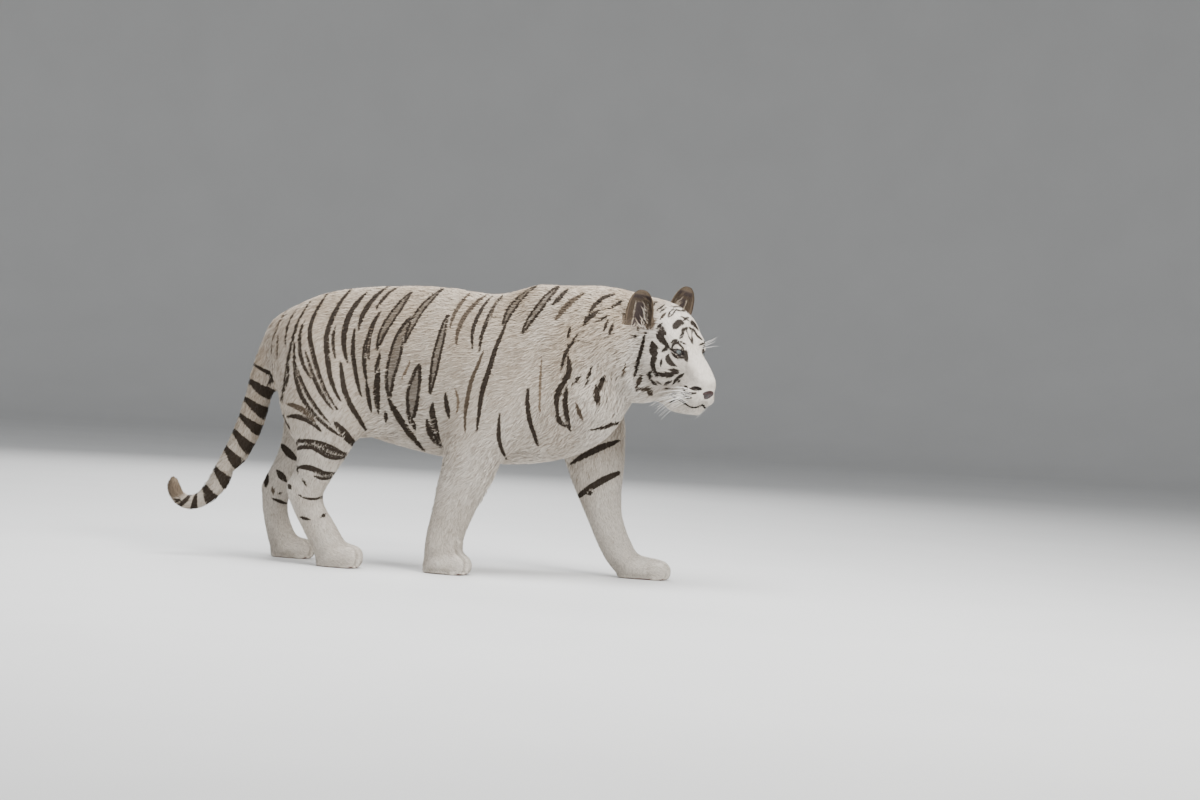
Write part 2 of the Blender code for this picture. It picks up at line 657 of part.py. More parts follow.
def turned(profile, segments):
    """A closed turned form from (radius, height) pairs whose first and last radius are 0."""
    bm = bmesh.new()
    line = [bm.verts.new((r, 0, z)) for r, z in profile]
    edges = [bm.edges.new(pair) for pair in zip(line, line[1:])]
    bmesh.ops.spin(
        bm, geom=[*line, *edges], cent=(0, 0, 0), axis=(0, 0, 1), angle=2 * math.pi, steps=segments
    )
    bmesh.ops.remove_doubles(bm, verts=bm.verts, dist=1e-6)
    bmesh.ops.recalc_face_normals(bm, faces=bm.faces)
    return bm


def half_turn_profile(radius, low_deg, high_deg, steps):
    """Points of an arc from low to high, in degrees above the equator, as (radius, height) pairs."""
    angles = [math.radians(low_deg + (high_deg - low_deg) * k / steps) for k in range(steps + 1)]
    return [(max(0.0, radius * math.cos(a)), radius * math.sin(a)) for a in angles]


def eye_form(side):
    bm = turned(half_turn_profile(EYE_RADIUS, -90, 90, EYE_RINGS), EYE_SEGMENTS)
    bmesh.ops.transform(bm, matrix=eye_place(side), verts=bm.verts)
    return bm


def socket_form(side):
    """The ball's seat, with a straight way out of the head along the gaze."""
    seat = EYE_RADIUS + GAP
    profile = [*half_turn_profile(seat, -90, 0, EYE_RINGS // 2 + 1), (seat, SOCKET_REACH), (0.0, SOCKET_REACH)]
    bm = turned(profile, EYE_SEGMENTS)
    bmesh.ops.transform(bm, matrix=eye_place(side), verts=bm.verts)
    return bm


def add_ears_and_eyes(pieces):
    """Sets both eyes into sockets, and both ears on the head."""
    for side, name in ((1, "left"), (-1, "right")):
        socket = cutter_object("socket", socket_form(side), 0.0)
        pieces["head"] = combined(pieces["head"], socket, "DIFFERENCE")
        bpy.data.objects.remove(socket)
        ball = bpy.data.meshes.new("eye_" + name)
        eye_form(side).to_mesh(ball)
        pieces["eye_" + name] = ball
    crown = bmesh.new()
    crown.from_mesh(pieces["head"])
    clearance = cutter_object("crown", crown, GAP)
    for side, name in ((1, "left"), (-1, "right")):
        ear = bpy.data.meshes.new("ear_" + name)
        ear_form(side).to_mesh(ear)
        pieces["ear_" + name] = largest_body(combined(ear, clearance, "DIFFERENCE"))
    bpy.data.objects.remove(clearance)


def centre_on_floor(pieces):
    """Moves all pieces so that the middle of their common box stands over the origin."""
    corners = [v.co for mesh in pieces.values() for v in mesh.vertices]
    middle = [(min(c[i] for c in corners) + max(c[i] for c in corners)) / 2 for i in range(2)]
    shift = Matrix.Translation((-middle[0], -middle[1], 0))
    for mesh in pieces.values():
        mesh.transform(shift)


def finish_of(name):
    if name.startswith("eye"):
        return IRIS
    if name.startswith("ear"):
        return EAR_COAT
    if name.startswith("tail"):
        return TAIL_COAT
    return NOSE_LEATHER if name == "nose_pad" else COAT


def main():
    clear_scene()
    pieces = parted(fused_body())
    add_ears_and_eyes(pieces)
    centre_on_floor(pieces)
    for name, mesh in pieces.items():
        node = object_from(name, mesh)
        mesh.name = name
        mesh.materials.clear()
        mesh.materials.append(material(name + "_finish", **finish_of(name)))
        mesh.shade_smooth()


main()
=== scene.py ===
"""The looks of a white tiger in mid-stride: one skin, a coat of mesh tufts, eyes, nose and whiskers.

Metres, +X towards the nose, +Y to the animal's left, +Z up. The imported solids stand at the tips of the
coat. The skin is drawn from them and lies inside by the depth of the coat, and the tufts fill the rest.
"""

import logging
import math
from dataclasses import dataclass, field, replace
from enum import Enum

import bmesh
import bpy
import numpy as np
from mathutils import Matrix, Vector
from mathutils.bvhtree import BVHTree
from mathutils.kdtree import KDTree


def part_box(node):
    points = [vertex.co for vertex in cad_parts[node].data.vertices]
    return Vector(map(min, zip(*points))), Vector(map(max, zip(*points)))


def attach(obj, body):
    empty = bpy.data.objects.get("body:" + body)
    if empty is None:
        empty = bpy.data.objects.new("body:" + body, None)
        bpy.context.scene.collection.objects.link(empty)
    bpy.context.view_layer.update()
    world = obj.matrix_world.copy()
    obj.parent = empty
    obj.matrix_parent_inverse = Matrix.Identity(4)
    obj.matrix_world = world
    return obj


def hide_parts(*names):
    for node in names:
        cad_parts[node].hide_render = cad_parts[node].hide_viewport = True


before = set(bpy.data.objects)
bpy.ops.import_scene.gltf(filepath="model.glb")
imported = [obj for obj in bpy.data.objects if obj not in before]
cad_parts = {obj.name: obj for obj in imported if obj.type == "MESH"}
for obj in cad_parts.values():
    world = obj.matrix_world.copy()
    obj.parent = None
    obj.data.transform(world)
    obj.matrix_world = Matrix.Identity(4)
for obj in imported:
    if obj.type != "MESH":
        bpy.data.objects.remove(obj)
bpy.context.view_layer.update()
LOG = logging.getLogger("tiger")

Array = np.ndarray  # rows of points or directions, or one number a row
MM = 0.001
CM = 0.01


class Side(Enum):
    """A side of the animal, valued by the sign of Y there."""

    RIGHT = -1
    LEFT = 1

    @property
    def word(self) -> str:
        """The side's name in lower case."""
        return self.name.lower()


class Tone(Enum):
    """Inks of the markings: how far each leans from near-black (0) to brown (1)."""

    BLACK = 0.0
    INK = 0.08
    DARK = 0.15
    SEPIA = 0.5
    BROWN = 1.0


# ---------------------------------------------------------------------------------------------------
# Small tools for rows of points


def unit(vectors: Array) -> Array:
    """Rows scaled to length one."""
    return vectors / np.maximum(np.linalg.norm(vectors, axis=-1, keepdims=True), 1e-12)


def smooth_step(low: float, high: float, values: Array) -> Array:
    """0 below low, 1 above high and a soft S between."""
    share = np.clip((values - low) / (high - low), 0.0, 1.0)
    return share * share * (3.0 - 2.0 * share)


def soft_noise(points: Array, size: float, seed: int) -> Array:
    """A smooth wandering value between about -1 and 1, from a few crossed waves.

    Args:
        points: where it is read.
        size: width of its blots, in metres.
        seed: picks the pattern.

    Returns:
        One number a point.
    """
    draw = np.random.default_rng(seed)
    total = np.zeros(len(points))
    for _ in range(6):
        heading = unit(draw.normal(size=3)) * (math.pi / size) * draw.uniform(0.7, 1.5)
        total += np.sin(points @ heading + draw.uniform(0, 2 * math.pi))
    return total / 3.0


def catmull_rom(rows: Array, steps: int) -> Array:
    """Rows with smooth rows put between them.

    Args:
        rows: control rows.
        steps: how many rows each stretch becomes.

    Returns:
        The denser rows, ends included.
    """
    rows = np.asarray(rows, float)
    if len(rows) == 1:
        return rows
    padded = np.vstack([2 * rows[0] - rows[1], rows, 2 * rows[-1] - rows[-2]])
    made = []
    for a, b, c, d in zip(padded, padded[1:], padded[2:], padded[3:]):
        for share in np.arange(steps) / steps:
            made.append(
                0.5
                * (
                    2 * b
                    + (c - a) * share
                    + (2 * a - 5 * b + 4 * c - d) * share**2
                    + (3 * b - a - 3 * c + d) * share**3
                )
            )
    return np.vstack([*made, rows[-1]])


def vectors(owners: bpy.types.bpy_prop_collection, key: str) -> Array:
    """A vector that many things hold, read in one go.

    Args:
        owners: vertices or normals.
        key: the vector's name.

    Returns:
        One row for each.
    """
    rows = np.empty(len(owners) * 3, np.float32)
    owners.foreach_get(key, rows)
    return rows.reshape(-1, 3).astype(float)


def mesh_points(mesh: bpy.types.Mesh) -> Array:
    """The mesh's vertices as rows."""
    return vectors(mesh.vertices, "co")


def mesh_normals(mesh: bpy.types.Mesh) -> Array:
    """The mesh's vertex normals as rows."""
    return vectors(mesh.vertex_normals, "vector")


def put_points(mesh: bpy.types.Mesh, points: Array) -> None:
    """Moves the mesh's vertices to the given rows."""
    mesh.vertices.foreach_set("co", np.ascontiguousarray(points, np.float32).ravel())
    mesh.update()


def new_object(name: str, mesh: bpy.types.Mesh) -> bpy.types.Object:
    """An object at the origin that shows the mesh.

    Args:
        name: the object's name.
        mesh: its mesh.

    Returns:
        The object, linked to the scene.
    """
    made = bpy.data.objects.new(name, mesh)
    bpy.context.scene.collection.objects.link(made)
    return made


def mesh_from_rows(name: str, points: Array, faces: Array) -> bpy.types.Mesh:
    """A mesh from arrays, for many small faces.

    Args:
        name: the mesh's name.
        points: one vertex a row.
        faces: one face a row, all with the same number of corners.

    Returns:
        The mesh, shaded smooth.
    """
    mesh = bpy.data.meshes.new(name)
    corners = faces.shape[1]
    mesh.vertices.add(len(points))
    mesh.loops.add(faces.size)
    mesh.polygons.add(len(faces))
    mesh.vertices.foreach_set("co", np.ascontiguousarray(points, np.float32).ravel())
    mesh.loops.foreach_set("vertex_index", np.ascontiguousarray(faces, np.int32).ravel())
    mesh.polygons.foreach_set("loop_start", np.arange(0, faces.size, corners, dtype=np.int32))
    mesh.polygons.foreach_set("use_smooth", np.ones(len(faces), bool))
    mesh.update(calc_edges=True)
    mesh.validate()
    return mesh


def mesh_of(form: bmesh.types.BMesh, name: str) -> bpy.types.Mesh:
    """A new mesh with the form's faces.

    Args:
        form: the form, which is freed.
        name: the mesh's name.

    Returns:
        The mesh.
    """
    mesh = bpy.data.meshes.new(name)
    form.to_mesh(mesh)
    form.free()
    return mesh


def shade_smooth(mesh: bpy.types.Mesh) -> None:
    """Shades every face of the mesh smooth."""
    mesh.polygons.foreach_set("use_smooth", np.ones(len(mesh.polygons), bool))


def bridge(form: bmesh.types.BMesh, low: list, high: list) -> None:
    """Closes the band between two rings of vertices.

    Args:
        form: where the faces go.
        low: one ring.
        high: the other, with as many vertices.
    """
    for step in range(len(low)):
        after = (step + 1) % len(low)
        form.faces.new((low[step], high[step], high[after], low[after]))


def found_rows(found: list[tuple]) -> tuple[Array, Array]:
    """Places found on a surface and the normals there, each as rows."""
    return np.array([row[0] for row in found]), np.array([row[1] for row in found])


def put_colour(mesh: bpy.types.Mesh, name: str, channels: Array) -> None:
    """Stores four numbers a vertex."""
    layer = mesh.attributes.new(name, "FLOAT_COLOR", "POINT")
    layer.data.foreach_set("color", np.ascontiguousarray(channels, np.float32).ravel())


def evaluated_mesh(obj: bpy.types.Object) -> bpy.types.Mesh:
    """The object's mesh with its modifiers applied."""
    bpy.context.view_layer.update()
    graph = bpy.context.evaluated_depsgraph_get()
    return bpy.data.meshes.new_from_object(obj.evaluated_get(graph))


# ---------------------------------------------------------------------------------------------------
# Where the head is


@dataclass(frozen=True)
class LocalFrame:
    """A frame with its own origin and directions."""

    axes: Array  # its columns are the frame's X, Y and Z
    origin: Array

    def inward(self, points: Array) -> Array:
        """Points of the row frame, told in this frame."""
        return (points - self.origin) @ self.axes

    def outward(self, local: Array) -> Array:
        """Points of this frame, told in the row frame."""
        return np.asarray(local, float) @ self.axes.T + self.origin

    def turned(self, local: Array) -> Array:
        """Directions of this frame, told in the row frame."""
        return np.asarray(local, float) @ self.axes.T


@dataclass(frozen=True)
class HeadFrame(LocalFrame):
    """The head's own frame: origin in the middle of the nose leather, +X along the muzzle, +Y left."""

    eye: Array  # the left eye's centre, in this frame

    @classmethod
    def from_eyes(
        cls, nod_deg: float = 21.0, ahead: float = -0.139, across: float = 0.053, up: float = 0.091
    ) -> "HeadFrame":
        """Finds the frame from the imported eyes.

        Args:
            nod_deg: how far the muzzle points down.
            ahead: the eyes' place along the muzzle.
            across: how far each eye stands from the middle.
            up: their height above the nose.

        Returns:
            The head's frame.
        """
        left, right = (sum(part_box("eye_" + s.word), Vector()) / 2 for s in (Side.LEFT, Side.RIGHT))
        gap = (left - right).normalized()
        turn = Matrix.Rotation(math.atan2(-gap.x, gap.y), 3, "Z")
        axes = np.array(turn @ Matrix.Rotation(math.radians(nod_deg), 3, "Y"))
        middle = np.array((left + right) / 2)
        return cls(axes, middle - axes @ np.array((ahead, 0.0, up)), np.array((ahead, across, up)))

    def matrix(self) -> Matrix:
        """The frame as one matrix."""
        return Matrix.Translation(self.origin) @ Matrix(self.axes.tolist()).to_4x4()


HEAD = HeadFrame.from_eyes()
EYE_RADIUS = 0.0172
GAZE_OUT = math.radians(27)  # between each eye's gaze and the muzzle


# ---------------------------------------------------------------------------------------------------
# How the coat lies


@dataclass(frozen=True)
class CoatGuide:
    """The coat at one place: which way it lies, how long it is and how far its tips stand off."""

    at: tuple[float, float, float]
    lie: tuple[float, float, float]
    length: float  # of a tuft, mm
    stand: float  # height of its tips over the skin, mm
    reach: float = 120.0  # how far this guide is felt, mm
    paired: bool = True  # also holds for the other side


# Row frame, metres and mm. A paired guide is given for y above 0 and holds for both sides.
BODY_GUIDES = (
    CoatGuide((-0.10, 0.00, 0.96), (-1.0, 0.0, -0.05), 26, 7.0, 150, False),
    CoatGuide((0.20, 0.00, 0.97), (-1.0, 0.0, 0.0), 27, 7.5, 130, False),
    CoatGuide((0.45, 0.00, 0.98), (-1.0, 0.0, 0.05), 32, 9.0, 110, False),
    CoatGuide((-0.40, 0.00, 0.93), (-0.98, 0.0, -0.2), 26, 7.0, 120, False),
    CoatGuide((-0.56, 0.00, 0.84), (-0.6, 0.0, -0.8), 26, 7.0, 70, False),
    CoatGuide((0.00, 0.20, 0.70), (-0.96, 0.0, -0.28), 26, 6.5, 150),
    CoatGuide((-0.22, 0.19, 0.70), (-0.95, 0.0, -0.30), 26, 6.5, 130),
    CoatGuide((0.22, 0.19, 0.72), (-0.92, 0.0, -0.40), 26, 6.5, 110),
    CoatGuide((0.36, 0.17, 0.80), (-0.80, 0.0, -0.60), 28, 7.0, 100),
    CoatGuide((-0.42, 0.19, 0.70), (-0.62, 0.0, -0.78), 25, 6.0, 110),
    CoatGuide((-0.54, 0.12, 0.70), (-0.35, 0.0, -0.94), 28, 7.5, 80),
    CoatGuide((-0.52, 0.15, 0.50), (-0.30, 0.0, -0.95), 30, 9.0, 60),
    CoatGuide((-0.38, 0.19, 0.50), (-0.35, 0.0, -0.94), 23, 5.5, 80),
    CoatGuide((-0.12, 0.10, 0.42), (-0.97, 0.1, -0.20), 34, 10.0, 130),
    CoatGuide((0.20, 0.08, 0.40), (-0.95, 0.1, -0.30), 36, 11.0, 120),
    CoatGuide((-0.28, 0.10, 0.46), (-0.85, 0.1, -0.50), 34, 10.0, 60),
    CoatGuide((0.42, 0.10, 0.44), (-0.75, 0.1, -0.65), 36, 12.0, 80),
    CoatGuide((0.62, 0.00, 0.58), (-0.25, 0.0, -0.97), 46, 16.0, 80, False),
    CoatGuide((0.60, 0.13, 0.68), (-0.45, 0.1, -0.88), 44, 15.0, 80),
    CoatGuide((0.50, 0.16, 0.74), (-0.62, 0.0, -0.78), 38, 12.0, 80),
    CoatGuide((0.60, 0.13, 0.86), (-0.78, 0.0, -0.62), 36, 11.0, 80),
    CoatGuide((0.62, 0.00, 0.96), (-1.0, 0.0, 0.0), 32, 9.0, 80, False),
    CoatGuide((0.45, 0.17, 0.58), (-0.40, 0.0, -0.92), 28, 8.0, 80),
)
# The legs, right then left: right fore back, left fore ahead, right hind ahead, left hind back.
LEG_GUIDES = (
    CoatGuide((0.20, -0.17, 0.55), (-0.45, 0.0, -0.89), 22, 5.5, 90, False),
    CoatGuide((0.12, -0.15, 0.42), (-0.25, 0.0, -0.97), 19, 5.0, 70, False),
    CoatGuide((0.04, -0.14, 0.42), (-0.45, 0.0, -0.90), 34, 10.0, 40, False),
    CoatGuide((0.08, -0.14, 0.26), (-0.25, 0.0, -0.97), 16, 4.0, 70, False),
    CoatGuide((0.04, -0.14, 0.13), (-0.05, 0.0, -1.00), 13, 3.5, 45, False),
    CoatGuide((0.08, -0.14, 0.05), (0.90, 0.0, -0.40), 11, 3.0, 40, False),
    CoatGuide((0.02, -0.14, 0.03), (0.50, 0.0, -0.60), 12, 3.5, 35, False),
    CoatGuide((0.50, 0.16, 0.50), (0.10, 0.0, -1.00), 22, 5.5, 80, False),
    CoatGuide((0.43, 0.15, 0.43), (-0.10, 0.0, -1.00), 34, 10.0, 40, False),
    CoatGuide((0.55, 0.15, 0.33), (0.18, 0.0, -0.98), 17, 4.5, 80, False),
    CoatGuide((0.59, 0.15, 0.18), (0.35, 0.0, -0.94), 14, 3.5, 50, False),
    CoatGuide((0.65, 0.15, 0.09), (0.70, 0.0, -0.70), 12, 3.2, 40, False),
    CoatGuide((0.75, 0.15, 0.05), (0.92, 0.0, -0.38), 11, 3.0, 45, False),
    CoatGuide((-0.40, -0.15, 0.42), (-0.12, 0.0, -0.99), 20, 5.0, 70, False),
    CoatGuide((-0.41, -0.15, 0.32), (-0.20, 0.0, -0.98), 17, 4.5, 60, False),
    CoatGuide((-0.43, -0.15, 0.21), (0.30, 0.0, -0.95), 14, 3.8, 45, False),
    CoatGuide((-0.37, -0.14, 0.12), (0.50, 0.0, -0.86), 13, 3.5, 40, False),
    CoatGuide((-0.30, -0.14, 0.05), (0.92, 0.0, -0.38), 11, 3.0, 40, False),
    CoatGuide((-0.46, 0.15, 0.44), (-0.25, 0.0, -0.97), 20, 5.0, 70, False),
    CoatGuide((-0.52, 0.15, 0.33), (-0.40, 0.0, -0.92), 17, 4.5, 60, False),
    CoatGuide((-0.57, 0.15, 0.20), (0.05, 0.0, -1.00), 14, 3.8, 45, False),
    CoatGuide((-0.54, 0.15, 0.10), (0.25, 0.0, -0.96), 13, 3.5, 40, False),
    CoatGuide((-0.47, 0.15, 0.05), (0.92, 0.0, -0.38), 11, 3.0, 40, False),
)
TAIL_GUIDES = (
    CoatGuide((-0.59, 0.01, 0.72), (-0.15, 0.0, -0.99), 28, 8.0, 55, False),
    CoatGuide((-0.62, 0.01, 0.60), (-0.15, 0.0, -0.99), 28, 8.5, 55, False),
    CoatGuide((-0.65, 0.01, 0.47), (-0.25, 0.0, -0.97), 28, 9.0, 55, False),
    CoatGuide((-0.70, 0.01, 0.34), (-0.45, 0.0, -0.89), 28, 9.0, 55, False),
    CoatGuide((-0.76, 0.00, 0.23), (-0.62, 0.0, -0.78), 26, 8.0, 45, False),
    CoatGuide((-0.81, 0.00, 0.185), (-0.92, 0.0, -0.35), 24, 7.0, 35, False),
    CoatGuide((-0.85, -0.01, 0.18), (-0.95, -0.1, 0.20), 22, 7.0, 30, False),
    CoatGuide((-0.88, -0.03, 0.21), (-0.40, -0.3, 0.85), 20, 7.0, 30, False),
    CoatGuide((-0.89, -0.04, 0.25), (0.05, -0.3, 0.95), 20, 7.0, 25, False),
)
# The head's frame, metres and mm.
HEAD_GUIDES = (
    CoatGuide((-0.02, 0.00, 0.045), (-0.95, 0.0, 0.30), 7, 1.6, 28, False),
    CoatGuide((-0.08, 0.00, 0.085), (-0.90, 0.0, 0.44), 9, 2.0, 35, False),
    CoatGuide((-0.14, 0.00, 0.130), (-0.75, 0.0, 0.66), 11, 2.4, 35, False),
    CoatGuide((-0.19, 0.00, 0.185), (-0.80, 0.0, 0.60), 13, 3.0, 40, False),
    CoatGuide((-0.26, 0.00, 0.215), (-1.00, 0.0, 0.05), 17, 4.0, 50, False),
    CoatGuide((-0.34, 0.00, 0.205), (-1.00, 0.0, -0.05), 24, 6.5, 55, False),
    CoatGuide((-0.02, 0.045, 0.005), (-0.88, 0.45, 0.05), 7, 1.6, 22),
    CoatGuide((-0.04, 0.055, -0.030), (-0.80, 0.45, -0.35), 9, 2.2, 25),
    CoatGuide((-0.08, 0.050, 0.030), (-0.95, 0.30, -0.05), 8, 1.8, 28),
    CoatGuide((-0.07, 0.055, -0.045), (-0.85, 0.30, -0.45), 12, 3.0, 25),
    CoatGuide((-0.02, 0.020, -0.085), (-0.70, 0.20, -0.70), 15, 4.5, 28),
    CoatGuide((-0.10, 0.040, -0.095), (-0.85, 0.20, -0.50), 20, 6.0, 35),
    CoatGuide((-0.12, 0.080, 0.055), (-0.90, 0.42, -0.10), 9, 2.0, 25),
    CoatGuide((-0.12, 0.085, 0.000), (-0.92, 0.35, -0.20), 11, 2.6, 30),
    CoatGuide((-0.13, 0.085, -0.050), (-0.85, 0.35, -0.40), 17, 5.0, 30),
    CoatGuide((-0.15, 0.060, 0.130), (-0.70, 0.30, 0.65), 9, 2.2, 25),
    CoatGuide((-0.17, 0.090, 0.105), (-0.90, 0.40, 0.20), 10, 2.4, 25),
    CoatGuide((-0.19, 0.110, 0.040), (-0.93, 0.30, -0.20), 14, 3.5, 35),
    CoatGuide((-0.19, 0.120, -0.020), (-0.85, 0.30, -0.42), 22, 7.0, 35),
    CoatGuide((-0.19, 0.115, -0.080), (-0.65, 0.35, -0.68), 34, 12.0, 35),
    CoatGuide((-0.21, 0.060, 0.180), (-0.85, 0.25, 0.45), 12, 3.0, 35),
    CoatGuide((-0.27, 0.095, 0.165), (-0.95, 0.20, 0.10), 15, 4.0, 30),
    CoatGuide((-0.25, 0.125, 0.075), (-0.90, 0.25, -0.30), 20, 5.5, 35),
    CoatGuide((-0.27, 0.145, 0.000), (-0.65, 0.28, -0.70), 40, 14.0, 45),
    CoatGuide((-0.27, 0.140, -0.090), (-0.45, 0.25, -0.85), 52, 19.0, 45),
    CoatGuide((-0.20, 0.060, -0.120), (-0.75, 0.10, -0.65), 36, 12.0, 45),
    CoatGuide((-0.36, 0.120, 0.060), (-0.85, 0.10, -0.50), 38, 11.0, 60),
    CoatGuide((-0.36, 0.120, -0.060), (-0.55, 0.10, -0.83), 50, 17.0, 55),
)


@dataclass(frozen=True)
class CoatMap:
    """Tells how the coat lies at any point, from the guides around it."""

    at: Array
    lie: Array
    length: Array
    stand: Array
    reach: Array
    far_weight: float = 1e-4  # a guide's pull at any distance, so that no place is left without one

    @classmethod
    def from_guides(cls) -> "CoatMap":
        """Collects the guides of body, legs, tail and head in the row frame.

        Returns:
            The map.
        """
        rows = []
        for guide in (*BODY_GUIDES, *LEG_GUIDES, *TAIL_GUIDES):
            rows += [(np.array(at), np.array(lie), guide) for at, lie in cls.both(guide)]
        for guide in HEAD_GUIDES:
            rows += [(HEAD.outward(at), HEAD.turned(lie), guide) for at, lie in cls.both(guide)]
        return cls(
            np.array([row[0] for row in rows]),
            unit(np.array([row[1] for row in rows])),
            np.array([row[2].length for row in rows]) * MM,
            np.array([row[2].stand for row in rows]) * MM,
            np.array([row[2].reach for row in rows]) * MM,
        )

    @staticmethod
    def both(guide: CoatGuide) -> list[tuple]:
        """The guide's place and lie, and their mirror image where it is paired."""
        flip = np.array((1.0, -1.0, 1.0))
        pair = [(guide.at, guide.lie)]
        return pair + [(guide.at * flip, guide.lie * flip)] if guide.paired else pair

    def weights(self, points: Array) -> Array:
        """How much each guide counts at each point.

        Args:
            points: places in the row frame.

        Returns:
            One row a point, one column a guide, each row adding up to 1.
        """
        gap = ((points[:, None, :] - self.at[None]) ** 2).sum(2)
        pull = np.exp(-0.5 * gap / self.reach**2) + self.far_weight * np.exp(-gap * 4.0)
        return pull / pull.sum(1, keepdims=True)

    def read(self, points: Array) -> tuple[Array, Array, Array]:
        """The coat at some points.

        Args:
            points: places in the row frame.

        Returns:
            Lie directions, tuft lengths and heights of the tips, a row a point.
        """
        lies, lengths, stands = [], [], []
        for part in np.array_split(points, max(1, len(points) // 20000)):
            share = self.weights(part)
            lies.append(unit(share @ self.lie))
            lengths.append(share @ self.length)
            stands.append(share @ self.stand)
        return np.vstack(lies), np.concatenate(lengths), np.concatenate(stands)


COAT_MAP = CoatMap.from_guides()


# ---------------------------------------------------------------------------------------------------
# The markings


@dataclass(frozen=True)
class Stripe:
    """A stripe drawn in one stroke, pointed at both ends, on a flat sheet that is then laid on the skin."""

    head: tuple[float, float]
    foot: tuple[float, float]
    half_width: float  # at its widest, mm
    bow: float = 0.0  # how far its middle stands off a straight line, as a share of its length
    sway: float = 0.0  # how far its first half swings to one side and its second half to the other, likewise
    tone: Tone = Tone.DARK
    core: float = 0.0  # share of the width that stays pale between two strands
    blunt: float = 0.25  # share of the width left at the ends

    def line(self, degree: float = 1.0) -> Array:
        """The stroke as points of its sheet.

        Args:
            degree: how long one unit of the sheet's second axis is, in units of the first.

        Returns:
            Rows of two numbers, in units of the sheet's first axis.
        """
        run = np.linspace(0, 1, 25)[:, None]
        head = np.array(self.head) * (1, degree)
        ahead = np.array(self.foot) * (1, degree) - head
        aside = np.array((-ahead[1], ahead[0]))
        off = self.bow * 4 * run * (1 - run) + self.sway * np.sin(2 * math.pi * run)
        return head + run * ahead + off * aside


# Seen from the side: places along the body and heights, in centimetres.
RUMP_STRIPES = (
    Stripe((-54, 85), (-57, 63), 3, bow=-0.11, tone=Tone.SEPIA),
    Stripe((-56, 76), (-56, 68), 3, tone=Tone.SEPIA),
    Stripe((-50.5, 85), (-53, 73), 4, bow=-0.08),
    Stripe((-46.5, 88), (-52, 55), 4.5, bow=-0.06),
    Stripe((-51.5, 67), (-52.5, 55), 4, bow=0.05),
    Stripe((-47, 81), (-43.5, 63), 5, bow=-0.15),
    Stripe((-50, 74), (-32, 44), 5.5, bow=-0.15),
    Stripe((-49.5, 68), (-36, 48), 4.5, bow=-0.05),
    Stripe((-46, 71), (-35.5, 53), 5, bow=-0.04),
    Stripe((-41, 91), (-34, 53), 5.5, bow=-0.16, sway=-0.02),
    Stripe((-33, 93.5), (-33, 56), 6.5, bow=-0.16),
    Stripe((-36.5, 80), (-36, 70), 4, bow=-0.06),
    Stripe((-28, 92), (-32, 69), 7, bow=-0.13),
    Stripe((-34, 68), (-25, 47), 6.5, bow=-0.06, blunt=0.4),
    Stripe((-30, 79.5), (-26.5, 58), 5.5, bow=-0.06),
)
LOIN_STRIPES = (
    Stripe((-20.5, 95), (-28.5, 80), 6.5, bow=-0.11),
    Stripe((-16.5, 95), (-23.5, 87), 4.5, bow=-0.1),
    Stripe((-22, 86), (-24.5, 70), 5.5, bow=-0.09),
    Stripe((-25, 79), (-25, 63), 5.5, bow=-0.07),
    Stripe((-25, 62), (-23, 53), 5.5),
    Stripe((-21, 72), (-22, 66), 5),
    Stripe((-21, 67), (-20.5, 53), 8, bow=-0.04),
    Stripe((-12.5, 93), (-22, 74), 11, bow=-0.05, core=0.5),
    Stripe((-12, 84), (-17, 58.5), 15, bow=-0.06, core=0.56),
    Stripe((-18, 53), (-18, 50), 5),
    Stripe((-17, 57), (-5, 41), 9, bow=-0.03),
    Stripe((-2, 95), (-12.5, 77), 9, bow=-0.08, core=0.42),
    Stripe((-11, 70), (-13, 64), 3, tone=Tone.BROWN),
    Stripe((-8, 68.5), (-9.5, 50.5), 16, core=0.52),
    Stripe((-9, 51), (-8, 48), 5),
    Stripe((1, 86), (-3, 60.5), 10.5, bow=-0.04, core=0.45),
    Stripe((-2, 56), (1, 43), 8.5, bow=-0.08, blunt=0.4),
    Stripe((-4, 51), (0.5, 43), 8, bow=-0.1),
    Stripe((2, 60), (3.5, 52.5), 5.5),
)
RIB_STRIPES = (
    Stripe((7.5, 94), (2, 82.5), 4.5, bow=-0.08, tone=Tone.SEPIA),
    Stripe((13.5, 94), (4, 77), 5.5, bow=-0.12, tone=Tone.SEPIA),
    Stripe((15, 93.5), (9.5, 76), 4.5, bow=-0.11),
    Stripe((18.5, 94), (12, 75), 4.5, bow=-0.08),
    Stripe((16.5, 92), (15, 86), 3, tone=Tone.SEPIA),
    Stripe((13, 74.5), (9, 48), 4.8, bow=-0.05, tone=Tone.SEPIA),
    Stripe((5, 62), (6, 54), 3, bow=0.1, tone=Tone.BROWN),
    Stripe((30, 98), (19.5, 84), 11, bow=-0.1, core=0.45),
    Stripe((20, 84), (13, 49), 6, bow=-0.04),
    Stripe((29, 63), (33, 45.5), 5.5, bow=-0.07, blunt=0.5),
    Stripe((20, 54), (23, 40), 5, bow=-0.08),
)
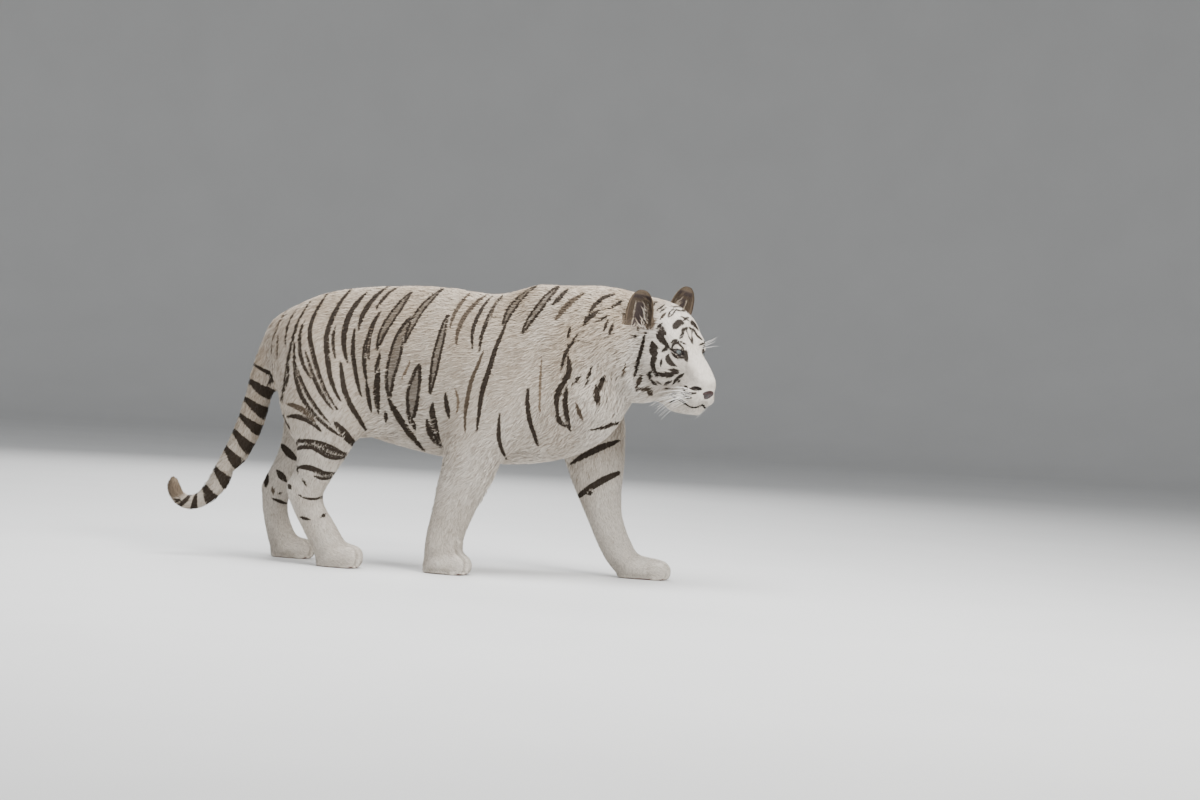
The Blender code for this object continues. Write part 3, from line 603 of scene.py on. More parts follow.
SHOULDER_STRIPES = (
    Stripe((37, 98), (26, 82), 10, bow=-0.05, core=0.42),
    Stripe((40, 97), (35.5, 92), 5.5),
    Stripe((45.5, 96), (36.5, 87), 7, bow=-0.05, tone=Tone.SEPIA),
    Stripe((56.5, 96.5), (48, 89.5), 5.5, bow=-0.13),
    Stripe((51, 90.5), (46, 86), 6.5, bow=-0.05),
    Stripe((54, 89), (50, 87), 3.5),
    Stripe((54, 87.5), (53, 84.5), 3.5),
    Stripe((56, 87), (54.5, 83), 3.5),
    Stripe((59, 94.5), (55, 92), 4),
    Stripe((44, 82), (39.5, 70.5), 4, bow=-0.06),
    Stripe((41.5, 84.5), (41, 81), 3.5),
    Stripe((41.5, 75), (39.2, 56), 7.5, sway=0.06),
    Stripe((39, 57), (42.5, 52), 6, bow=-0.2, blunt=0.5),
    Stripe((42, 64.5), (43.5, 51), 7, bow=-0.07),
    Stripe((53.7, 69), (51.5, 63.5), 7),
    Stripe((51.3, 65), (52.3, 60.5), 8, blunt=0.5),
    Stripe((33, 73), (33, 55), 3, tone=Tone.BROWN),
    Stripe((45.5, 59.5), (47.5, 54.5), 4.5, tone=Tone.SEPIA),
    Stripe((49.5, 72), (48, 66), 3.5),
    Stripe((46, 69), (44, 66), 3.5),
    Stripe((61, 74), (60.5, 70), 3, tone=Tone.SEPIA),
)
FORELEG_STRIPES = (
    Stripe((50.5, 51.5), (60, 55), 6, bow=-0.05),
    Stripe((45, 38.5), (60, 47), 8, bow=0.04),
    Stripe((48, 27), (61, 36), 8, bow=0.05, blunt=0.6),
)
HINDLEG_STRIPES = (
    Stripe((-50, 49.5), (-39, 45.5), 6.5, bow=0.13),
    Stripe((-50, 53.5), (-41, 48.5), 7, bow=0.1, tone=Tone.SEPIA),
    Stripe((-52, 50), (-49.5, 45), 5),
    Stripe((-34, 48), (-27.5, 41), 9.5, blunt=0.4),
    Stripe((-46.5, 41.5), (-31, 38), 6.5, bow=0.08, blunt=0.5),
    Stripe((-47, 38.5), (-30.5, 37), 6.5, bow=0.05, sway=0.07, blunt=0.5),
    Stripe((-47, 38.5), (-46, 42), 4.5, bow=0.1, blunt=0.7),
    Stripe((-38, 39.5), (-30, 37.5), 9, blunt=0.4),
    Stripe((-46, 32.5), (-33, 31.5), 7, sway=0.05),
    Stripe((-40, 30), (-33, 31), 5, bow=-0.12),
    Stripe((-46.5, 33), (-46, 31), 4),
    Stripe((-49, 26.5), (-48, 25.5), 6),
    Stripe((-45, 23.5), (-36, 24), 3, bow=-0.15),
    Stripe((-44, 28.5), (-43, 27), 3),
    Stripe((-37, 21.5), (-35, 20.5), 3.5),
    Stripe((-44, 16), (-41, 15.5), 4),
    Stripe((-37, 16.5), (-36, 17.5), 4),
    Stripe((-55.5, 38.5), (-50, 34), 9),
    Stripe((-56, 29.5), (-53, 26.5), 8),
    Stripe((-60, 28), (-60, 24.5), 9, blunt=0.5),
    Stripe((-57.5, 23.5), (-57, 22), 5, tone=Tone.SEPIA),
    Stripe((-57, 20), (-52.5, 18.5), 4),
)
BODY_STRIPES = (
    *RUMP_STRIPES, *LOIN_STRIPES, *RIB_STRIPES, *SHOULDER_STRIPES, *FORELEG_STRIPES, *HINDLEG_STRIPES,
)  # fmt: skip

# Round the head: centimetres along it from the nose, below 0, and degrees down from the crown.
CROWN_MARKS = (
    Stripe((-31.5, 22), (-32.5, 9), 4.5),
    Stripe((-28.3, 19), (-28.8, 9), 4.2),
    Stripe((-26.5, 20), (-26.8, 12), 4),
    Stripe((-26.2, 6), (-25, -6), 3),
    Stripe((-24.3, 10), (-23, 1), 5),
    Stripe((-24.5, 18), (-23.8, 28), 4, tone=Tone.SEPIA),
    Stripe((-23.9, 12), (-22.1, 20), 3, bow=0.12),
    Stripe((-23.4, 8), (-22.1, 19), 2.4, bow=-0.1),
    Stripe((-20.5, 6), (-19.4, -5), 3),
    Stripe((-18.5, 21), (-19, 8), 9, bow=-0.05, blunt=0.7),
    Stripe((-17.4, 3), (-17, 12), 4.5, bow=-0.08, blunt=0.6),
    Stripe((-17.2, 11), (-16, 15), 4.6, blunt=0.7),
    Stripe((-16, 14), (-14.9, 24), 4.4, blunt=0.5),
    Stripe((-16.8, -6), (-16.3, -5), 3.2),
    Stripe((-15.6, -4), (-13.4, -1), 2.8),
    Stripe((-14.9, 38), (-13.9, 30), 6, blunt=0.7),
    Stripe((-14, 30), (-13.2, 19), 2.6),
)
CHEEK_MARKS = (
    Stripe((-22.1, 32), (-22.3, 38), 5, blunt=0.4),
    Stripe((-21.2, 36), (-18.6, 47), 12.5, blunt=0.4),
    Stripe((-18.4, 45), (-16, 48), 6.2, blunt=0.8),
    Stripe((-16.2, 47), (-16.4, 58), 5.2, bow=-0.1, blunt=0.5),
    Stripe((-24.8, 54), (-21.6, 114), 5.5, bow=-0.03),
    Stripe((-19.5, 112), (-19.3, 128), 6, tone=Tone.SEPIA),
    Stripe((-20.8, 59), (-17.4, 73), 12, blunt=0.2),
    Stripe((-17.9, 69), (-16.3, 88), 8.5, blunt=0.7),
    Stripe((-16.5, 85), (-14.3, 101), 6, bow=0.06, blunt=0.8),
    Stripe((-14.6, 100), (-12, 97), 5.4, blunt=0.8),
    Stripe((-12.4, 97), (-10.9, 95), 8, blunt=0.5),
    Stripe((-14.7, 73), (-13.9, 83), 3),
    Stripe((-14.4, 59), (-11.3, 69), 7.5, bow=0.2, blunt=0.1),
    Stripe((-11.6, 84), (-10.2, 78), 4.2),
    Stripe((-11, 89), (-10.2, 85), 4.5, blunt=0.6),
    Stripe((-8.5, 80), (-10.4, 120), 4.6),
    Stripe((-11, 113), (-12.2, 121), 5),
    Stripe((-8.7, 107), (-9, 112), 2.8),
    Stripe((-16.3, 101), (-16.5, 111), 7.5),
    Stripe((-15.9, 113), (-14.4, 122), 5),
    Stripe((-13.9, 115), (-13.4, 118), 3.5, blunt=0.7),
    Stripe((-18.5, 127), (-15.8, 128), 5, tone=Tone.SEPIA),
    Stripe((-16.2, 128), (-15.7, 138), 7, tone=Tone.SEPIA),
    Stripe((-10.5, 146), (-8.8, 143), 4),
    Stripe((-9.3, 150), (-8, 148), 4),
    Stripe((-12.6, 133), (-11, 134), 2.5, tone=Tone.SEPIA),
    Stripe((-28.4, 66), (-27.6, 64), 3.5),
    Stripe((-29, 52), (-28, 56), 4, tone=Tone.SEPIA),
)
EYE_MARKS = (
    Stripe((-14.9, 48), (-13.9, 45), 3.5, blunt=0.6),
    Stripe((-14.6, 44), (-12.4, 29), 3.6, bow=-0.16, blunt=0.5),
    Stripe((-12.4, 30), (-9.8, 37), 8, blunt=0.5),
    Stripe((-14, 51), (-12.2, 50), 3, bow=0.06, blunt=0.5),
    Stripe((-13.6, 47), (-11, 40), 4, bow=0.12, blunt=0.6),
)
MUZZLE_MARKS = (
    Stripe((-5.7, 119), (-5, 119), 5, blunt=0.8),
    Stripe((-2.9, 111), (-0.4, 104), 5.5, tone=Tone.BLACK, blunt=0.5),
    Stripe((-3.6, 114), (-1.3, 112), 3.0, blunt=0.4),
    Stripe((-5.4, 127), (-1, 121), 3.2, blunt=0.4),
    Stripe((-6.5, 125), (-4.5, 127), 3.0, tone=Tone.SEPIA),
    Stripe((-6.4, 135), (-1.5, 131), 3.4, blunt=0.4),
)
FACE_MARKS = (*CROWN_MARKS, *CHEEK_MARKS, *EYE_MARKS, *MUZZLE_MARKS)

# The left half of the mouth's line, in the head's frame and in mm.
LIP_LINE = ((0, 0, -46), (-6, 14, -53), (-20, 32, -58), (-45, 46, -56), (-72, 52, -55), (-96, 56, -54))


@dataclass(frozen=True)
class Tail:
    """The tail's middle line from its root's underside to its tip, and the bands round it."""

    line: tuple[tuple[float, float], ...] = (
        (-61, 66), (-62.5, 56), (-64, 49), (-66, 42), (-69, 35.5), (-72.5, 29), (-76, 23), (-79.5, 19),
        (-84, 17.5), (-87.5, 19),
    )  # fmt: skip
    bands: tuple[tuple[float, float], ...] = (
        (2, 6), (8, 15), (14.5, 15), (20.5, 13), (27, 15), (33.5, 16), (41, 15), (48.5, 17), (54, 9),
        (58, 8), (61.5, 7),
    )  # centimetres down the line, and half widths in mm  # fmt: skip
    thick: float = 0.046  # radius of its upper half
    thin: float = 0.029  # radius near its tip

    def ring(self, down: float) -> tuple[Array, Array]:
        """Points round the tail at a band, and the share of the band's width at each.

        Args:
            down: centimetres down the line.

        Returns:
            The points and the shares.
        """
        line = catmull_rom(np.array(self.line), 12)
        run = np.concatenate([[0.0], np.cumsum(np.linalg.norm(np.diff(line, axis=0), axis=1))])
        x, z = (np.interp((down, down + 1), run, line[:, k]) for k in range(2))
        heading = unit(np.array((x[1] - x[0], 0.0, z[1] - z[0])))
        front = np.cross((0.0, 1.0, 0.0), heading)
        round_it = np.linspace(0, 2 * math.pi, 72, endpoint=False)
        lean = -0.3 * np.cos(round_it)[:, None] * heading
        spokes = np.cos(round_it)[:, None] * front + np.sin(round_it)[:, None] * np.array((0.0, 1.0, 0.0))
        radius = self.thick + (self.thin - self.thick) * smooth_step(25, 52, down)
        middle = np.array((x[0], 0.0, z[0])) * CM
        return middle + radius * (spokes + lean), 0.7 - 0.3 * np.cos(round_it)


TAIL = Tail()


@dataclass
class Markings:
    """All stripes as dense points on the skin, each with its direction, half width and tone."""

    tree: KDTree | None = None
    at: Array = field(default_factory=lambda: np.zeros((0, 3)))
    along: Array = field(default_factory=lambda: np.zeros((0, 3)))
    across: Array = field(default_factory=lambda: np.zeros((0, 3)))
    width: Array = field(default_factory=lambda: np.zeros(0))
    core: Array = field(default_factory=lambda: np.zeros(0))
    tone: Array = field(default_factory=lambda: np.zeros(0))
    spacing: float = 0.0025
    boldness: float = 1.45
    degree: float = 0.19  # centimetres round the head to a degree
    clear_of_ears: float = -23.0  # ahead of here, rays to the head come from outside
    no_core: float = -0.3  # below 0, so that the stripe's middle is dark
    wobble: float = 0.0025  # how far a stripe wanders from its line
    scale: float = 50.0  # stored numbers are metres times this
    brown_tip: tuple[float, float, float] = (-0.89, -0.04, 0.25)
    least_core: float = 0.0008  # half width from which a pale core shows
    patch_width: float = 0.012  # half width that stands for a wholly dark patch
    patch_edge: float = 0.35  # how dark a patch is at its edge

    def lay(self, surface: BVHTree) -> None:
        """Lays every stripe onto the skin.

        Args:
            surface: the skin, ready for rays.
        """
        rows: list[tuple[Array, ...]] = []

        def add(found: tuple[Array, Array], stripe: Stripe, share: Array, ink: float = 1.0) -> None:
            """Keeps a stripe's points with their directions, widths and tone."""
            line, normal = found
            heading = unit(np.gradient(line, axis=0))
            width = stripe.half_width * self.boldness * MM * share
            core = width * stripe.core * np.sin(math.pi * np.linspace(0, 1, len(line)))
            tone = np.full(len(line), stripe.tone.value * ink)
            rows.append((line, heading, unit(np.cross(normal, heading)), width, core, tone))

        for side in Side:
            for number, stripe in enumerate(BODY_STRIPES):
                line, share = self.dense(self.body_line(stripe, side, number), stripe)
                add(self.cast(surface, line, side), stripe, share)
            for stripe in FACE_MARKS:
                line, share = self.dense(stripe.line(self.degree) * CM, stripe)
                add(self.round_head(surface, line, side), stripe, share, 0.5)
            lip = Stripe((0, 0), (0, 0), 2.6, tone=Tone.BLACK, blunt=0.8)
            flat = catmull_rom(np.array(LIP_LINE, float) * MM * (1, side.value, 1), 12)
            line, share = self.dense(HEAD.outward(flat), lip)
            add(self.snapped(surface, line), lip, share)
        for down, half_width in TAIL.bands:
            line, share = TAIL.ring(down)
            add(self.snapped(surface, line), Stripe((0, 0), (0, 0), half_width), share)
        columns = [np.concatenate(kind) for kind in zip(*rows)]
        self.at, self.along, self.across, self.width, self.core, self.tone = columns
        self.tree = KDTree(len(self.at))
        for index, place in enumerate(self.at):
            self.tree.insert(place, index)
        self.tree.balance()

    def body_line(self, stripe: Stripe, side: Side, number: int) -> Array:
        """The stripe's points seen from the side, in metres; the left side's differ a little.

        Args:
            stripe: the stripe as drawn for the right side.
            side: the side it goes on.
            number: its place in the list, which seeds the difference.

        Returns:
            Rows of X and Z.
        """
        if side is Side.LEFT:
            draw = np.random.default_rng(500 + number)
            free = min(max((95 - stripe.head[1]) / 10, 0.0), 1.0)
            shift = free * draw.normal(0, 0.8, 2)
            head, foot = np.array(stripe.head) + shift, np.array(stripe.foot) + draw.normal(0, 1.0, 2)
            stripe = replace(stripe, head=tuple(head), foot=tuple(foot))
        return stripe.line() * CM

    def dense(self, line: Array, stripe: Stripe) -> tuple[Array, Array]:
        """The stripe's line as evenly spaced points.

        Args:
            line: its points, in two or three coordinates.
            stripe: its widths.

        Returns:
            The points, and the share of the half width at each.
        """
        run = np.concatenate([[0.0], np.cumsum(np.linalg.norm(np.diff(line, axis=0), axis=1))])
        count = max(4, int(run[-1] / self.spacing))
        even = np.linspace(0, run[-1], count)
        line = np.stack([np.interp(even, run, line[:, k]) for k in range(line.shape[1])], 1)
        along = np.clip(np.linspace(0, 1, count), 0.02, 0.98)
        return line, stripe.blunt + (1 - stripe.blunt) * np.sqrt(np.sin(math.pi * along))

    def round_head(self, surface: BVHTree, line: Array, side: Side) -> tuple[Array, Array]:
        """Lays a line drawn round the head onto the skin.

        Args:
            surface: the skin.
            line: rows of the place along the head and the way round it, in metres.
            side: the half of the head.

        Returns:
            Points on the skin and its normals there.
        """
        made = []
        for along, round_it in line:
            angle = math.radians(round_it * 100 / self.degree)
            middle = Vector(HEAD.outward(np.array((along, 0.0, 0.02))))
            out = Vector(HEAD.turned(np.array((0.0, side.value * math.sin(angle), math.cos(angle)))))
            if along * 100 > self.clear_of_ears:
                hit, normal, _, _ = surface.ray_cast(middle + 0.4 * out, -out)
            else:
                hit, normal, _, _ = surface.ray_cast(middle, out)
            if hit is None:
                hit, normal, _, _ = surface.find_nearest(middle + 0.1 * out)
            made.append((hit, normal))
        return found_rows(made)

    def cast(self, surface: BVHTree, line: Array, side: Side) -> tuple[Array, Array]:
        """Lays a line drawn from the side onto that side of the skin.

        Args:
            surface: the skin.
            line: rows of X and Z.
            side: the side it is seen from.

        Returns:
            Points on the skin and its normals there.
        """
        made = []
        wander = soft_noise(np.column_stack([line, line[:, :1] * 0]), 0.09, 7 + side.value)
        for (x, z), drift in zip(line, wander * self.wobble):
            start = Vector((x + drift, side.value * 1.0, z))
            hit, normal, _, _ = surface.ray_cast(start, Vector((0, -side.value, 0)))
            if hit is None:
                hit, normal, _, _ = surface.find_nearest(Vector((x + drift, side.value * 0.01, z)))
            made.append((hit, normal))
        return found_rows(made)

    def snapped(self, surface: BVHTree, line: Array) -> tuple[Array, Array]:
        """The line's points moved to the nearest places on the skin, and its normals there."""
        return found_rows([surface.find_nearest(Vector(place)) for place in line])

    def beside(self, middles: Array, points: list[Array]) -> tuple[list[Array], Array, Array, Array]:
        """Where points lie across the stripe nearest to their middle.

        Args:
            middles: one place for each row of points.
            points: several places for each middle.

        Returns:
            For each of points, the signed distance across the stripe; then its half width, below 0 past
            its ends, the half width of its pale core, and its tone.
        """
        nearest = np.array([self.tree.find(place)[1] for place in middles])
        at, across = self.at[nearest], self.across[nearest]
        off = middles - at
        past = np.maximum(np.abs((off * self.along[nearest]).sum(1)) - 1.2 * self.spacing, 0.0)
        signed = [((place - at) * across).sum(1) for place in points]
        lost = np.maximum(np.linalg.norm(off, axis=1) - 0.05, 0.0)
        return signed, self.width[nearest] - past - lost, self.core[nearest], self.tone[nearest]

    def channels(self, middles: Array, points: list[Array]) -> tuple[list[Array], Array]:
        """The numbers that the coat's finish reads.

        Args:
            middles: the places that say which stripe counts.
            points: several places for each middle.

        Returns:
            For each of points, rows of place across the stripe, the stripe's half width, warmth and tone;
            then the half width of the stripe's pale core for each middle.
        """
        signed, width, core, tone = self.beside(middles, points)
        face = smooth_step(-0.34, -0.22, HEAD.inward(middles)[:, 0])
        high = smooth_step(0.45, 0.95, middles[:, 2]) * (1 - face)
        low = smooth_step(0.50, 0.30, middles[:, 2])
        warm = 0.42 + 0.40 * high - 0.24 * low - 0.32 * face
        warm += 0.10 * soft_noise(middles, 0.11, 41) + 0.05 * soft_noise(middles, 0.03, 42)
        tail = smooth_step(-0.585, -0.63, middles[:, 0]) * smooth_step(0.75, 0.68, middles[:, 2])
        warm += 0.35 * tail
        patch = smooth_step(0.062, 0.042, np.linalg.norm(middles - np.array(self.brown_tip), axis=1)) * 0.9
        shade = np.full(len(middles), Tone.BROWN.value)
        for ear in EARS.values():
            dark, ink = ear.paint(middles)
            shade = np.where(dark > patch, ink, shade)
            patch = np.maximum(patch, dark)
        painted = patch > 0.02
        width = np.where(painted, self.patch_width * (patch - self.patch_edge), width)
        core = np.where(painted | (core < self.least_core), self.no_core, core * self.scale)
        tone = np.where(painted, shade, tone)
        made = []
        for place in signed:
            place = np.where(painted, 0.0, place)
            rows = [place * self.scale, width * self.scale, np.clip(warm, 0, 1.2), tone]
            made.append(np.column_stack(rows))
        return made, core


MARKINGS = Markings()


# ---------------------------------------------------------------------------------------------------
# The skin

TRUNK_NODES = ("belly", "chest", "neck", "rump")
LEG_NODES = tuple(f"{part}_{side.word}" for part in ("foreleg", "shank") for side in Side)
PAW_NODES = tuple(f"{part}_{side.word}" for part in ("forepaw", "hindpaw") for side in Side)
TAIL_NODES = ("tail_root", "tail_middle", "tail_end", "tail_tip")
EAR_NODES = tuple(f"ear_{side.word}" for side in Side)
EYE_NODES = tuple(f"eye_{side.word}" for side in Side)
FLESH_NODES = (*TRUNK_NODES, *LEG_NODES, *PAW_NODES, *TAIL_NODES, "head", *EAR_NODES)
SHAPE_NODES = (*TRUNK_NODES, *LEG_NODES, *PAW_NODES, *TAIL_NODES, "head", "nose_pad", *EYE_NODES)


@dataclass
class Flesh:
    """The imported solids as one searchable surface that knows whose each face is."""

    nodes: tuple[str, ...] = SHAPE_NODES
    faces_of: list[int] = field(default_factory=list)
    tree: BVHTree | None = None

    def __post_init__(self) -> None:
        """Gathers the faces of every node."""
        points, faces = [], []
        for number, node in enumerate(self.nodes):
            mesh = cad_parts[node].data
            start = len(points)
            points += [tuple(vert.co) for vert in mesh.vertices]
            faces += [tuple(start + corner for corner in face.vertices) for face in mesh.polygons]
            self.faces_of += [number] * len(mesh.polygons)
        self.tree = BVHTree.FromPolygons(points, faces)

    def owners(self, points: Array) -> Array:
        """The number of the node nearest each point."""
        return np.array([self.faces_of[self.tree.find_nearest(Vector(place))[2]] for place in points])


@dataclass(frozen=True)
class EyeFrame(LocalFrame):
    """An eye's own frame: towards its outer corner, up, and along its gaze."""

    side: Side

    @classmethod
    def of(cls, side: Side) -> "EyeFrame":
        """The frame of one eye.

        Args:
            side: which eye.

        Returns:
            Its frame.
        """
        centre = np.array(sum(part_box("eye_" + side.word), Vector()) / 2)
        sin, cos = math.sin(GAZE_OUT), math.cos(GAZE_OUT)
        rows = np.array([(-sin, side.value * cos, 0), (0, 0, 1), (cos, side.value * sin, 0)])
        return cls(HEAD.turned(rows).T, centre, side)


@dataclass(frozen=True)
class LidOpening:
    """The almond between the lids, in the plane across the gaze."""

    outer: float = 0.0138
    inner: float = 0.0150
    upper: float = 0.0074
    lower: float = 0.0066
    tilt: float = math.radians(18)  # the outer corner stands higher
    fullness: float = 1.5  # 2 is an oval, less is pointed at the corners

    def radius(self, angle: Array) -> Array:
        """How far the lids' edge is from the gaze.

        Args:
            angle: direction round the gaze, from the outer corner upwards.

        Returns:
            Distances in metres.
        """
        cos, sin = np.cos(angle - self.tilt), np.sin(angle - self.tilt)
        wide = np.where(cos > 0, self.outer, self.inner)
        high = np.where(sin > 0, self.upper, self.lower)
        total = np.abs(cos / wide) ** self.fullness + np.abs(sin / high) ** self.fullness
        return total ** (-1.0 / self.fullness)

    def share(self, local: Array) -> Array:
        """Distance from the gaze over that of the lids' edge, for points of the eye's frame."""
        return np.hypot(local[:, 0], local[:, 1]) / self.radius(np.arctan2(local[:, 1], local[:, 0]))


OPENING = LidOpening()
EYE_FRAMES = {side: EyeFrame.of(side) for side in Side}


@dataclass(frozen=True)
class Ear:
    """One ear: a cupped leaf that stands on the head, in its own frame.

    Local X is the way the hollow looks, Y runs across and Z up the ear.
    """

    side: Side
    root: tuple[float, float, float]  # in the head's frame
    turn: float  # degrees of the hollow, from forward to outward
    lean: float  # degrees of the tip, outward
    sweep: float = -9.0  # degrees of the tip, backward
    height: float = 0.142
    half_width: float = 0.0465
    cup: float = 0.038
    flattening: float = 0.55  # share of the cup that is lost towards the tip
    wall: float = 0.0055
    widest: float = 0.38  # share of the height
    roundness: float = 0.65
    fullness: float = 2.2  # power of the outline's curve: 2 is an ellipse
    sunk: float = 0.25  # share of the height that starts inside the head
    around: int = 40
    upward: int = 34

    @property
    def place(self) -> Matrix:
        """The ear's frame as a matrix."""
        back = Matrix.Rotation(math.radians(self.sweep), 4, "Y")
        tip_out = Matrix.Rotation(-self.side.value * math.radians(self.lean), 4, "X")
        outward = Matrix.Rotation(self.side.value * math.radians(self.turn), 4, "Z")
        return HEAD.matrix() @ Matrix.Translation(self.root) @ back @ tip_out @ outward

    def width(self, share: Array) -> Array:
        """Half the ear's width at a share of its height."""
        off = np.abs((np.asarray(share) - self.widest) / self.roundness)
        return self.half_width * np.maximum(0.0, 1 - off**self.fullness) ** (1 / self.fullness)

    def leaf(self, share: float, across: float, behind: float) -> tuple[float, float, float]:
        """A point of the cupped leaf.

        Args:
            share: of the height.
            across: from -1 at one margin to 1 at the other.
            behind: how far behind the hollow's face it lies, in metres.

        Returns:
            X, Y and Z in the ear's frame.
        """
        angle = math.pi / 2 * (1 + across)
        width = float(self.width(share))
        depth = math.sin(angle) * self.cup * (1 - self.flattening * share) * width / self.half_width
        return -depth - behind, -math.cos(angle) * width, share * self.height

    def shell(self) -> bmesh.types.BMesh:
        """The closed ear in the row frame: hollow, rounded rim and back.

        Returns:
            A bmesh.
        """
        made = bmesh.new()
        top = self.widest + self.roundness * 0.995
        rows = []
        for level in range(self.upward + 1):
            share = -self.sunk + (top + self.sunk) * math.sin(math.pi / 2 * level / self.upward)
            row = []
            for step in range(2 * self.around):
                turn = math.pi * step / self.around
                across = -math.cos(turn)
                back = 0.5 * self.wall * (1 - math.sin(turn))
                spread = 1.0 + (0.02 if abs(across) > 0.98 else 0.0)
                row.append(made.verts.new(self.leaf(share, across / spread, back)))
            rows.append(row)
        for low, high in zip(rows, rows[1:]):
            for step in range(2 * self.around):
                after = (step + 1) % (2 * self.around)
                made.faces.new((low[step], low[after], high[after], high[step]))
        made.faces.new(rows[0][::-1])
        made.faces.new(rows[-1])
        bmesh.ops.recalc_face_normals(made, faces=made.faces)
        made.transform(self.place)
        return made

    def local(self, points: Array) -> Array:
        """Points of the row frame, told in the ear's frame."""
        inverse = np.array(self.place.inverted())
        return points @ inverse[:3, :3].T + inverse[:3, 3]

    def zones(self, points: Array) -> tuple[Array, Array, Array]:
        """Where each point is on the ear.

        Args:
            points: places in the row frame.

        Returns:
            How surely it belongs to the ear, how near it is to the rim, and whether it is in the hollow,
            each from 0 to 1.
        """
        local = self.local(points)
        share = local[:, 2] / self.height
        width = self.width(share)
        across = np.clip(local[:, 1] / np.maximum(width, 1e-4), -1.6, 1.6)
        bend = np.sqrt(np.clip(1 - across**2, 0, 1))
        face = -bend * self.cup * (1 - self.flattening * share) * width / self.half_width
        behind = face - local[:, 0]
        near = (np.abs(local[:, 1]) < width + 0.012) & (np.abs(behind - 0.003) < 0.022)
        belongs = near * smooth_step(0.02, 0.16, share) * (share < 1.12)
        rim = np.maximum(smooth_step(0.80, 0.97, np.abs(across)), smooth_step(0.86, 0.97, share))
        hollow = (behind < 0.5 * self.wall) * (1.0 - rim)
        return belongs, rim, hollow

    def paint(self, points: Array) -> tuple[Array, Array]:
        """How dark the ear's own fur is, and how brown.

        Args:
            points: places in the row frame.

        Returns:
            Darkness from 0 to 1 and tone, a number for each point.
        """
        belongs, rim, hollow = self.zones(points)
        seat = self.across(points)
        spot = np.exp(-((seat[:, 0] / 0.42) ** 2) - ((seat[:, 1] - 0.55) / 0.20) ** 2)
        back = (1 - hollow) * np.where(spot > 0.5, 0.0, 1.0)
        border = hollow * smooth_step(0.50, 0.62, self.margin(seat))
        dark = belongs * np.maximum(np.maximum(back, rim), border) * smooth_step(0.05, 0.25, seat[:, 1])
        crown = seat[:, 0] * self.side.value < 0
        tone = np.where(hollow > 0.5, 0.55, np.where(rim > 0.3, np.where(crown, 1.25, 0.95), 0.35))
        return dark, tone

    @staticmethod
    def margin(seat: Array) -> Array:
        """How near each place is to the ear's margins or tip, about 1 on them."""
        return np.maximum(np.abs(seat[:, 0]), seat[:, 1] * 0.92 - 0.12)

    def across(self, points: Array) -> Array:
        """Place across the ear, -1 and 1 at its margins, and share of its height, for points near it."""
        local = self.local(points)
        share = np.clip(local[:, 2] / self.height, -0.3, 1.02)
        return np.column_stack([local[:, 1] / np.maximum(self.width(share), 0.004), share])


EARS = {
    Side.LEFT: Ear(Side.LEFT, (-0.300, 0.076, 0.112), -12, 9),
    Side.RIGHT: Ear(Side.RIGHT, (-0.276, -0.126, 0.093), 55, 4),
}


def lip_gap(local: Array) -> Array:
    """How far points are from the line between the lips.

    Args:
        local: places in the head's frame, on either side.

    Returns:
        Distances in metres, 1 for those far from the mouth.
    """
    folded = local * (1, 1, 1)
    folded[:, 1] = np.abs(folded[:, 1])
    lip = catmull_rom(np.array(LIP_LINE, float) * MM, 12)
    near = np.flatnonzero(np.linalg.norm(folded - lip.mean(0), axis=1) < 0.09)
    gap = np.ones(len(local))
    gap[near] = np.linalg.norm(folded[near, None] - lip[None], axis=2).min(1)
    return gap


@dataclass(frozen=True)
class Crease:
    """A soft groove (or ridge, where depth is below 0) along a line of the head's frame."""

    line: tuple[tuple[float, float, float], ...]  # mm, for the left half
    depth: float  # mm
    half_width: float  # mm


FACE_CREASES = (
    Crease(((-18, 0, -86), (-34, 8, -92), (-60, 22, -96)), 7.0, 22.0),
    Crease(((4, 0, -18), (3, 0, -32), (0, 0, -46)), 3.0, 2.6),
    Crease(LIP_LINE, 3.2, 2.4),
    Crease(((-92, 44, 72), (-84, 46, 50), (-74, 48, 32)), 2.0, 6.0),
    Crease(((-120, 52, 112), (-134, 68, 116), (-148, 84, 106)), -3.0, 8.0),
    Crease(((-104, 60, 64), (-122, 82, 58), (-140, 98, 66)), 1.6, 5.0),
    Crease(((-100, 62, -30), (-112, 76, 0), (-114, 84, 30)), 1.6, 7.0),
    Crease(((-30, 46, -20), (-50, 50, -28), (-70, 50, -30)), -2.0, 12.0),
    Crease(((-150, 0, 140), (-190, 0, 178)), 1.5, 8.0),
)


